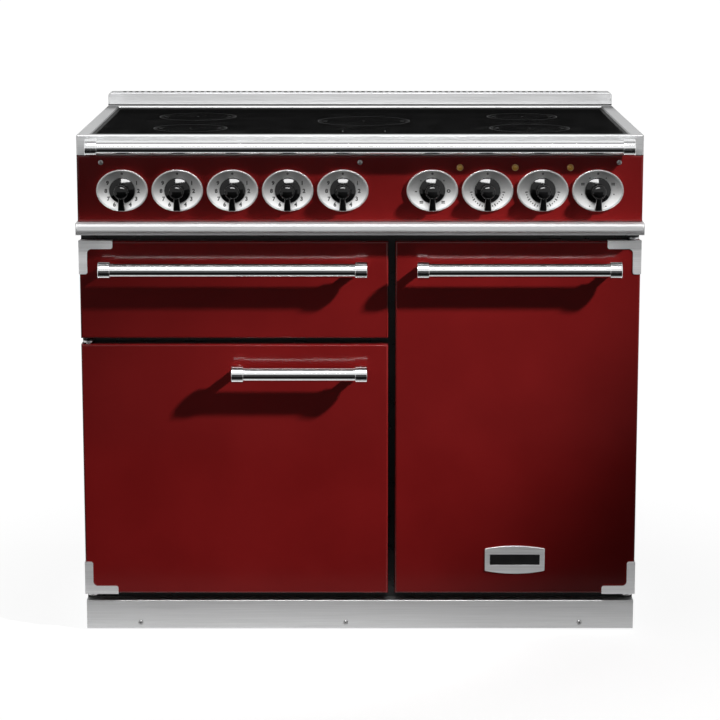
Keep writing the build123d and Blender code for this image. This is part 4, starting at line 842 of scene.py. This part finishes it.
KNOBS = ("hob_knob_front_left", "hob_knob_rear_left", "hob_knob_centre", "hob_knob_rear_right",
         "hob_knob_front_right", "oven_function_knob", "left_oven_knob", "right_oven_knob", "grill_knob")
skirt_rim = SKIRT_RADIUS - SKIRT_EASE
knob_outline = [(SKIRT_BACK, BOSS_RADIUS)]
knob_outline += oval_arc(SKIRT_BACK + SKIRT_EASE, skirt_rim, SKIRT_EASE, SKIRT_EASE, -90, 0, 3)
knob_outline += oval_arc(SKIRT_EDGE, skirt_rim, SKIRT_EASE, SKIRT_EASE, 0, SKIRT_STEEP, 5)
bow_reach = knob_outline[-1][0] - SKIRT_BOW * math.sin(math.radians(SKIRT_STEEP))
bow_radius = knob_outline[-1][1] - SKIRT_BOW * math.cos(math.radians(SKIRT_STEEP))
knob_outline += oval_arc(bow_reach, bow_radius, SKIRT_BOW, SKIRT_BOW, SKIRT_STEEP, SKIRT_FLAT)[1:]
knob_outline += oval_arc(BOSS_FRONT, 0.0, KNOB_FRONT - BOSS_FRONT, BOSS_RADIUS, 0, 88, 12)


def lever_sections(steps=8, end_steps=4):
    """The lever from the spindle down: drop, width, and how far out its back and its front are."""
    sections = []
    straight = LEVER_DROP - LEVER_EASE - LEVER_TOP
    for n in range(steps + 1):
        share = n / steps
        sections.append((LEVER_TOP + share * straight, LEVER_WIDE + LEVER_FLARE * share,
                         LEVER_BACK + LEVER_LEAN * share, LEVER_FRONT - LEVER_FALL * share ** LEVER_BEND))
    drop, wide, inner, outer = sections[-1]
    for n in range(1, end_steps + 1):
        angle = math.pi / 2 * n / end_steps
        inset = LEVER_EASE * (1 - math.cos(angle))
        sections.append((drop + LEVER_EASE * math.sin(angle), wide - 2 * inset, inner + inset, outer - inset))
    return sections


def lever_ring(x, drop, wide, inner, outer):
    """One rounded section of the lever, at a drop below the spindle."""
    ring = []
    middle, half = (inner + outer) / 2, (outer - inner) / 2
    for n in range(LEVER_SIDES):
        c, s = math.cos(math.tau * n / LEVER_SIDES), math.sin(math.tau * n / LEVER_SIDES)
        across, out = math.copysign(abs(c) ** LEVER_SQUARE, c), math.copysign(abs(s) ** LEVER_SQUARE, s)
        ring.append((x + wide / 2 * across, fascia_low.y - middle - half * out, dial_z - drop))
    return ring


for knob, x in zip(KNOBS, hob_dials + oven_dials):
    moulding = bmesh.new()
    turned(moulding, knob_outline, (x, fascia_low.y, dial_z), (0, -1, 0), KNOB_SIDES)
    loft(moulding, [lever_ring(x, *section) for section in lever_sections()])
    turned(moulding, [(0.0, SPINDLE_RADIUS), (SPINDLE_LENGTH, SPINDLE_RADIUS)],
           (x, fascia_low.y + SPINDLE_BACK, dial_z), (0, -1, 0), SPINDLE_SIDES)
    stand(knob + "_moulding", mesh_of(moulding, knob + "_moulding", 50), knob_black, knob, "knob_black", knob)

# Hob tray and rear upstand: brushed stainless pressings, a tray with a wide rim that frames the
# glass, and a slotted vent strip along the wall for the cooling air. A near-black sheet under its
# slots is painted shade for the dark inside of the vent, and a black strip along its foot is
# painted shadow for the shadow gap there.
smoothed("hob_tray", brushed_steel)
smoothed("rear_upstand", brushed_steel)
upstand_low, upstand_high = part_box("rear_upstand")
SLOT_LENGTH, SLOT_SHADE_T, SLOT_SHADE_DEPTH, SLOT_SHADE_INSET = 0.0216, 0.0004, 0.0003, 0.02
slot_shade_y = (upstand_low.y + upstand_high.y) / 2
slot_shade_sheet = bmesh.new()
loft(slot_shade_sheet, [[(x, slot_shade_y + side * SLOT_LENGTH / 2, upstand_high.z - SLOT_SHADE_DEPTH - drop)
              for side, drop in ((-1, 0.0), (1, 0.0), (1, SLOT_SHADE_T), (-1, SLOT_SHADE_T))]
             for x in (upstand_low.x + SLOT_SHADE_INSET, upstand_high.x - SLOT_SHADE_INSET)])
# Painted shade: this near-black sheet under the vent slots darkens them as the shade inside the vent would.
painted_slot_shade = new_finish("painted_slot_shade", (0.004, 0.004, 0.004), 0.9, gloss=0.0)
tint(painted_slot_shade, crystals(painted_slot_shade, 1600.0), (0.002, 0.002, 0.002), (0.012, 0.012, 0.012))
relief(painted_slot_shade, crystals(painted_slot_shade, 1600.0), 0.3, 0.0004)
stand("upstand_slot_shade", mesh_of(slot_shade_sheet, "upstand_slot_shade"), painted_slot_shade, "chassis", "seal_rubber")
# Painted shadow: a black strip along the upstand's foot stands in for the shadow gap there.
FOOT_SHADOW_OUT, FOOT_SHADOW_TALL = 0.0014, 0.002
foot_shadow_bead = bmesh.new()
foot_shadow_outline = ((0.0, 0.0), (FOOT_SHADOW_OUT, 0.0), (FOOT_SHADOW_OUT, FOOT_SHADOW_TALL / 2), (FOOT_SHADOW_OUT / 2, FOOT_SHADOW_TALL),
                (0.0, FOOT_SHADOW_TALL))
loft(foot_shadow_bead, [[(x, upstand_low.y - out, upstand_low.z + up) for out, up in foot_shadow_outline]
            for x in (upstand_low.x, upstand_high.x)])
stand("upstand_foot_shadow", mesh_of(foot_shadow_bead, "upstand_foot_shadow"), seal_rubber, "chassis", "seal_rubber")

# Hob glass: a black glass-ceramic plate, bonded into the tray with a bead of black silicone, with
# faint grey rings, dots and chevrons printed where the coils are. The bead stands up over the tray's
# inner wall, so it is partly a real seal and partly painted shade on that wall.
black_glass = new_finish("black_glass", (0.0035, 0.0035, 0.0037), 0.08, gloss=0.25)
tint(black_glass, grain(black_glass, 9.0), (0.003, 0.003, 0.0032), (0.0046, 0.0046, 0.0048))
dull(black_glass, grain(black_glass, 20.0), 0.06, 0.13)
relief(black_glass, grain(black_glass, 500.0), 0.01, 0.0002)
smoothed("hob_glass", black_glass)
glass_low, glass_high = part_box("hob_glass")
# The bead is a real seal and also painted shade: it darkens the tray's wall round the glass.
BEAD_IN, BEAD_RISE, BEVEL_LEAN = 0.0014, 0.0028, 0.6
seal_and_shade_bead = bmesh.new()
seal_and_shade_outline = ((-BEAD_IN, 0.0), (0.0, -BEAD_RISE / 2), (BEAD_RISE * BEVEL_LEAN, BEAD_RISE))
corners = ((glass_low.x, glass_low.y, -1, -1), (glass_high.x, glass_low.y, 1, -1),
           (glass_high.x, glass_high.y, 1, 1), (glass_low.x, glass_high.y, -1, 1))
loft(seal_and_shade_bead, [[(x + right * out, y + back * out, glass_high.z + up) for out, up in seal_and_shade_outline]
                for x, y, right, back in corners], closed=True)
stand("glass_seal_and_shade", mesh_of(seal_and_shade_bead, "glass_seal_and_shade"), seal_rubber, "chassis", "seal_rubber")
zone_print = new_finish("zone_print", (0.0095, 0.0095, 0.0098), 0.4, gloss=0.15)
tint(zone_print, grain(zone_print, 300.0), (0.006, 0.006, 0.0063), (0.013, 0.013, 0.0134))
dull(zone_print, grain(zone_print, 200.0), 0.34, 0.48)
LINE_W = 0.0012
DASHES, DASH_LAP = 72, 1.04
CHEVRON_WIDE, CHEVRON_TALL, CHEVRON_STEP = 0.009, 0.034, 0.009
TICK_WIDE, TICK_LONG = 0.002, 0.024
TICK_XS, TICK_Y = (-0.031, 0.045), -0.169
ZONES = ((-0.307, -0.113, 0.066), (0.307, -0.113, 0.072), (-0.307, 0.105, 0.072), (0.307, 0.105, 0.066),
         (0.007, 0.02, 0.085))


def lay_on_glass(shape, mesh, x, y, turn=0.0):
    """Add a flat mark to a mesh in work, on the glass at a place."""
    start = len(shape.verts)
    shape.from_mesh(mesh)
    shape.verts.ensure_lookup_table()
    place = Matrix.Translation((x, y, glass_high.z + PRINT_T / 2)) @ Matrix.Rotation(turn, 4, "Z")
    for vert in shape.verts[start:]:
        vert.co = place @ vert.co


def flat_mark(*outlines):
    """A thin printed mark from the corners of its flat strokes."""
    shape = bmesh.new()
    for corners in outlines:
        loft(shape, [[(x, y, out) for x, y in corners] for out in (-PRINT_T / 2, PRINT_T / 2)])
    return mesh_of(shape, "flat_mark")


chevron = flat_mark(*[[(0, side * CHEVRON_TALL / 2), (LINE_W, side * CHEVRON_TALL / 2), (CHEVRON_WIDE, 0),
                       (CHEVRON_WIDE - LINE_W, 0)] for side in (-1, 1)])
tick = flat_mark([(right * TICK_WIDE / 2, back * TICK_LONG / 2)
                  for right, back in ((-1, -1), (1, -1), (1, 1), (-1, 1))])
zone_marks = bmesh.new()
for x, y, radius in ZONES:
    circle = grown([(0, 0, 0)], ring_maker, Count=DASHES, Radius=radius, Step=math.tau / DASHES,
                   Length=LINE_W, Width=math.tau * radius / DASHES * DASH_LAP, Thickness=PRINT_T,
                   Long_every=1, Finish=zone_print)
    lay_on_glass(zone_marks, circle, x, y)
    lay_on_glass(zone_marks, dot, x, y)
    for side, turn in ((-1, math.pi), (1, 0.0)):
        for step in (2, 1):
            lay_on_glass(zone_marks, chevron, x + side * (radius - step * CHEVRON_STEP), y, turn)
for x in TICK_XS:
    lay_on_glass(zone_marks, tick, x, TICK_Y)
zone_mesh = bpy.data.meshes.new("zone_marks")
zone_marks.to_mesh(zone_mesh)
zone_marks.free()
stand("zone_marks", zone_mesh, zone_print, "chassis", "black_glass")

# Studio: a pale floor that keeps a soft shadow, a white surround, a key lamp high on the right,
# a long soft box over the front, a weak fill, and dark cards that only reflections see.


def seen_rays(tree):
    """1 for rays from the camera, and for those that metal and glass throw on."""
    path = tree.nodes.new("ShaderNodeLightPath").outputs
    return math_of(tree, "MAXIMUM", path["Is Camera Ray"],
                   math_of(tree, "MAXIMUM", path["Is Glossy Ray"], path["Is Transmission Ray"]))


def flat_sheet(name, corners, finish):
    """A flat stage sheet through four corners."""
    mesh = bpy.data.meshes.new(name)
    mesh.from_pydata(corners, [], [(0, 1, 2, 3)])
    mesh.materials.append(finish)
    sheet = bpy.data.objects.new(name, mesh)
    scene.collection.objects.link(sheet)
    return sheet


def level_sheet(name, half, y_from, y_to, z, finish):
    """A sheet that lies flat at a height."""
    corners = [(-half, y_from, z), (half, y_from, z), (half, y_to, z), (-half, y_to, z)]
    return flat_sheet(name, corners, finish)


def upright_sheet(name, half, y, low, high, finish):
    """A sheet that stands across the view."""
    corners = [(-half, y, low), (half, y, low), (half, y, high), (-half, y, high)]
    return flat_sheet(name, corners, finish)


FLOOR_HALF, FLOOR_GREY = 40.0, (0.35, 0.35, 0.35, 1)
NEAR_REACH, FAR_REACH, NEAR_WHITE, FAR_WHITE = 0.6, 1.3, 0.9, 1.0
floor_paint = bpy.data.materials.new("floor_paint")
floor_paint.use_nodes = True
floor_tree = floor_paint.node_tree
floor_tree.nodes.clear()
matt = wire(floor_tree, "ShaderNodeBsdfDiffuse", Color=FLOOR_GREY)
away = floor_tree.nodes.new("ShaderNodeVectorMath")
away.operation = "LENGTH"
floor_tree.links.new(wire(floor_tree, "ShaderNodeTexCoord").outputs["Object"], away.inputs[0])
white_share = spread(floor_paint, away.outputs["Value"], NEAR_REACH, FAR_REACH, NEAR_WHITE, FAR_WHITE)
glow = wire(floor_tree, "ShaderNodeEmission",
            Strength=math_of(floor_tree, "MULTIPLY", seen_rays(floor_tree), white_share))
both = floor_tree.nodes.new("ShaderNodeAddShader")
floor_tree.links.new(matt.outputs[0], both.inputs[0])
floor_tree.links.new(glow.outputs[0], both.inputs[1])
floor_tree.links.new(both.outputs[0], floor_tree.nodes.new("ShaderNodeOutputMaterial").inputs["Surface"])
level_sheet("floor", FLOOR_HALF, -FLOOR_HALF, FLOOR_HALF, 0, floor_paint)


def card_paint(name, grey):
    """A dead matt card that shows one even grey."""
    paint = new_finish(name, (0.0, 0.0, 0.0), 0.9, gloss=0.0)
    shader = paint.node_tree.nodes["Principled BSDF"]
    shader.inputs["Emission Color"].default_value = (1, 1, 1, 1)
    shader.inputs["Emission Strength"].default_value = grey
    return paint


card_black = card_paint("card_black", 0.008)
card_dark = card_paint("card_dark", 0.08)
card_grey = card_paint("card_grey", 0.22)
CARD_HALF, CARD_Y, CARD_TOP, CARD_MIDDLE, CARD_NEAR, CARD_LIFT = 1.7, -1.75, 0.8, -0.62, -0.4, 0.002
OVER_Z, OVER_FRONT, OVER_BACK = 2.5, -0.68, -0.24
REAR_HALF, REAR_Y, REAR_LOW, REAR_HIGH = 2.5, 1.9, 0.93, 1.35
HOB_CARD_HALF, HOB_CARD_GAP, RIM_CARD_GAP, HOB_CARD_LIFT = 1.5 * glass_high.x, 0.001, 0.002, 0.0005
hob_top = cad_box[1][2]


def one_way_paint(name, grey):
    """A card that shows an even grey in front and lets everything through from behind."""
    paint = bpy.data.materials.new(name)
    paint.use_nodes = True
    tree = paint.node_tree
    tree.nodes.clear()
    behind = wire(tree, "ShaderNodeNewGeometry").outputs["Backfacing"]
    front = wire(tree, "ShaderNodeEmission", Color=(1, 1, 1, 1), Strength=grey).outputs[0]
    sides = wire(tree, "ShaderNodeMixShader", Fac=behind)
    tree.links.new(front, sides.inputs[1])
    tree.links.new(wire(tree, "ShaderNodeBsdfTransparent").outputs[0], sides.inputs[2])
    tree.links.new(sides.outputs[0], tree.nodes.new("ShaderNodeOutputMaterial").inputs["Surface"])
    return paint


one_way = one_way_paint("one_way_black", 0.008)
one_way_grey = one_way_paint("one_way_grey", 0.4)
cards = [upright_sheet("front_card", CARD_HALF, CARD_Y, CARD_LIFT, CARD_TOP, card_dark),
         upright_sheet("rear_card", REAR_HALF, REAR_Y, REAR_LOW, REAR_HIGH, card_black),
         upright_sheet("hob_card", HOB_CARD_HALF, glass_high.y - HOB_CARD_GAP, glass_high.z + HOB_CARD_LIFT,
                       hob_top, one_way),
         upright_sheet("rim_card", HOB_CARD_HALF, upstand_low.y - RIM_CARD_GAP, upstand_low.z + HOB_CARD_LIFT,
                       hob_top, one_way_grey),
         level_sheet("far_floor_card", CARD_HALF, CARD_Y, CARD_MIDDLE, CARD_LIFT, card_black),
         level_sheet("near_floor_card", CARD_HALF, CARD_MIDDLE, CARD_NEAR, CARD_LIFT, card_grey),
         level_sheet("overhead_card", CARD_HALF, OVER_FRONT, OVER_BACK, OVER_Z, card_black)]
for card in cards:
    card.visible_camera = card.visible_diffuse = card.visible_shadow = card.visible_transmission = False

SOFT_LIGHT, WHITE_SEEN = 0.13, 1.0
world = bpy.data.worlds.new("surround")
scene.world = world
world.use_nodes = True
sky = world.node_tree
sky.nodes.clear()
soft = wire(sky, "ShaderNodeBackground", Color=(1, 1, 1, 1), Strength=SOFT_LIGHT)
white = wire(sky, "ShaderNodeBackground", Color=(1, 1, 1, 1), Strength=WHITE_SEEN)
choice = wire(sky, "ShaderNodeMixShader", Fac=seen_rays(sky))
sky.links.new(soft.outputs[0], choice.inputs[1])
sky.links.new(white.outputs[0], choice.inputs[2])
sky.links.new(choice.outputs[0], sky.nodes.new("ShaderNodeOutputWorld").inputs["Surface"])


def aimed_lamp(name, lamp, place, aim):
    """Hang a lamp at a place, turned to a point."""
    holder = bpy.data.objects.new(name, lamp)
    holder.location = place
    holder.rotation_euler = (Vector(aim) - Vector(place)).to_track_quat("-Z", "Y").to_euler()
    scene.collection.objects.link(holder)
    return holder


def soft_box(name, wide, tall, power):
    """A rectangular lamp."""
    lamp = bpy.data.lights.new(name, "AREA")
    lamp.shape = "RECTANGLE"
    lamp.size, lamp.size_y, lamp.energy = wide, tall, power
    return lamp


KEY_PLACE, KEY_AIM = (2.35, -1.65, 2.45), (-0.15, -0.27, 0.32)
KEY_POWER, KEY_SPREAD, KEY_SIZE = 790.0, math.radians(18.6), 0.1
FRONT_PLACE, FRONT_AIM = (-0.02, -1.35, 1.92), (0, -0.29, 0.8)
FRONT_WIDE, FRONT_TALL, FRONT_POWER = 1.25, 0.27, 41.0
FILL_PLACE, FILL_AIM = (-2.0, -2.6, 1.5), (0, -0.27, 0.5)
FILL_WIDE, FILL_POWER = 1.6, 6.0
key = bpy.data.lights.new("key_lamp", "SPOT")
key.energy, key.spot_size, key.spot_blend, key.shadow_soft_size = KEY_POWER, KEY_SPREAD, 1.0, KEY_SIZE
aimed_lamp("key_lamp", key, KEY_PLACE, KEY_AIM).visible_glossy = False
front_box = soft_box("front_box", FRONT_WIDE, FRONT_TALL, FRONT_POWER)
aimed_lamp("front_box", front_box, FRONT_PLACE, FRONT_AIM).visible_diffuse = False
fill = soft_box("fill_lamp", FILL_WIDE, FILL_WIDE, FILL_POWER)
aimed_lamp("fill_lamp", fill, FILL_PLACE, FILL_AIM).visible_glossy = False

# Camera: a long lens well back from the cooker, a little above the hob, square to the front and
# tipped down, so that the whole front, the glass and the plinth are in view.
DISTANCE, HEIGHT, TILT = 4.326, 1.351, math.radians(10.23)
camera = bpy.data.cameras.new("camera")
camera.sensor_width = 36.0
camera.lens = 124.4
camera.shift_y = -0.05
viewer = bpy.data.objects.new("camera", camera)
viewer.location = (0, fascia_low.y - DISTANCE, HEIGHT)
viewer.rotation_euler = (math.pi / 2 - TILT, 0, 0)
scene.collection.objects.link(viewer)
scene.camera = viewer
scene.view_settings.view_transform = "Standard"
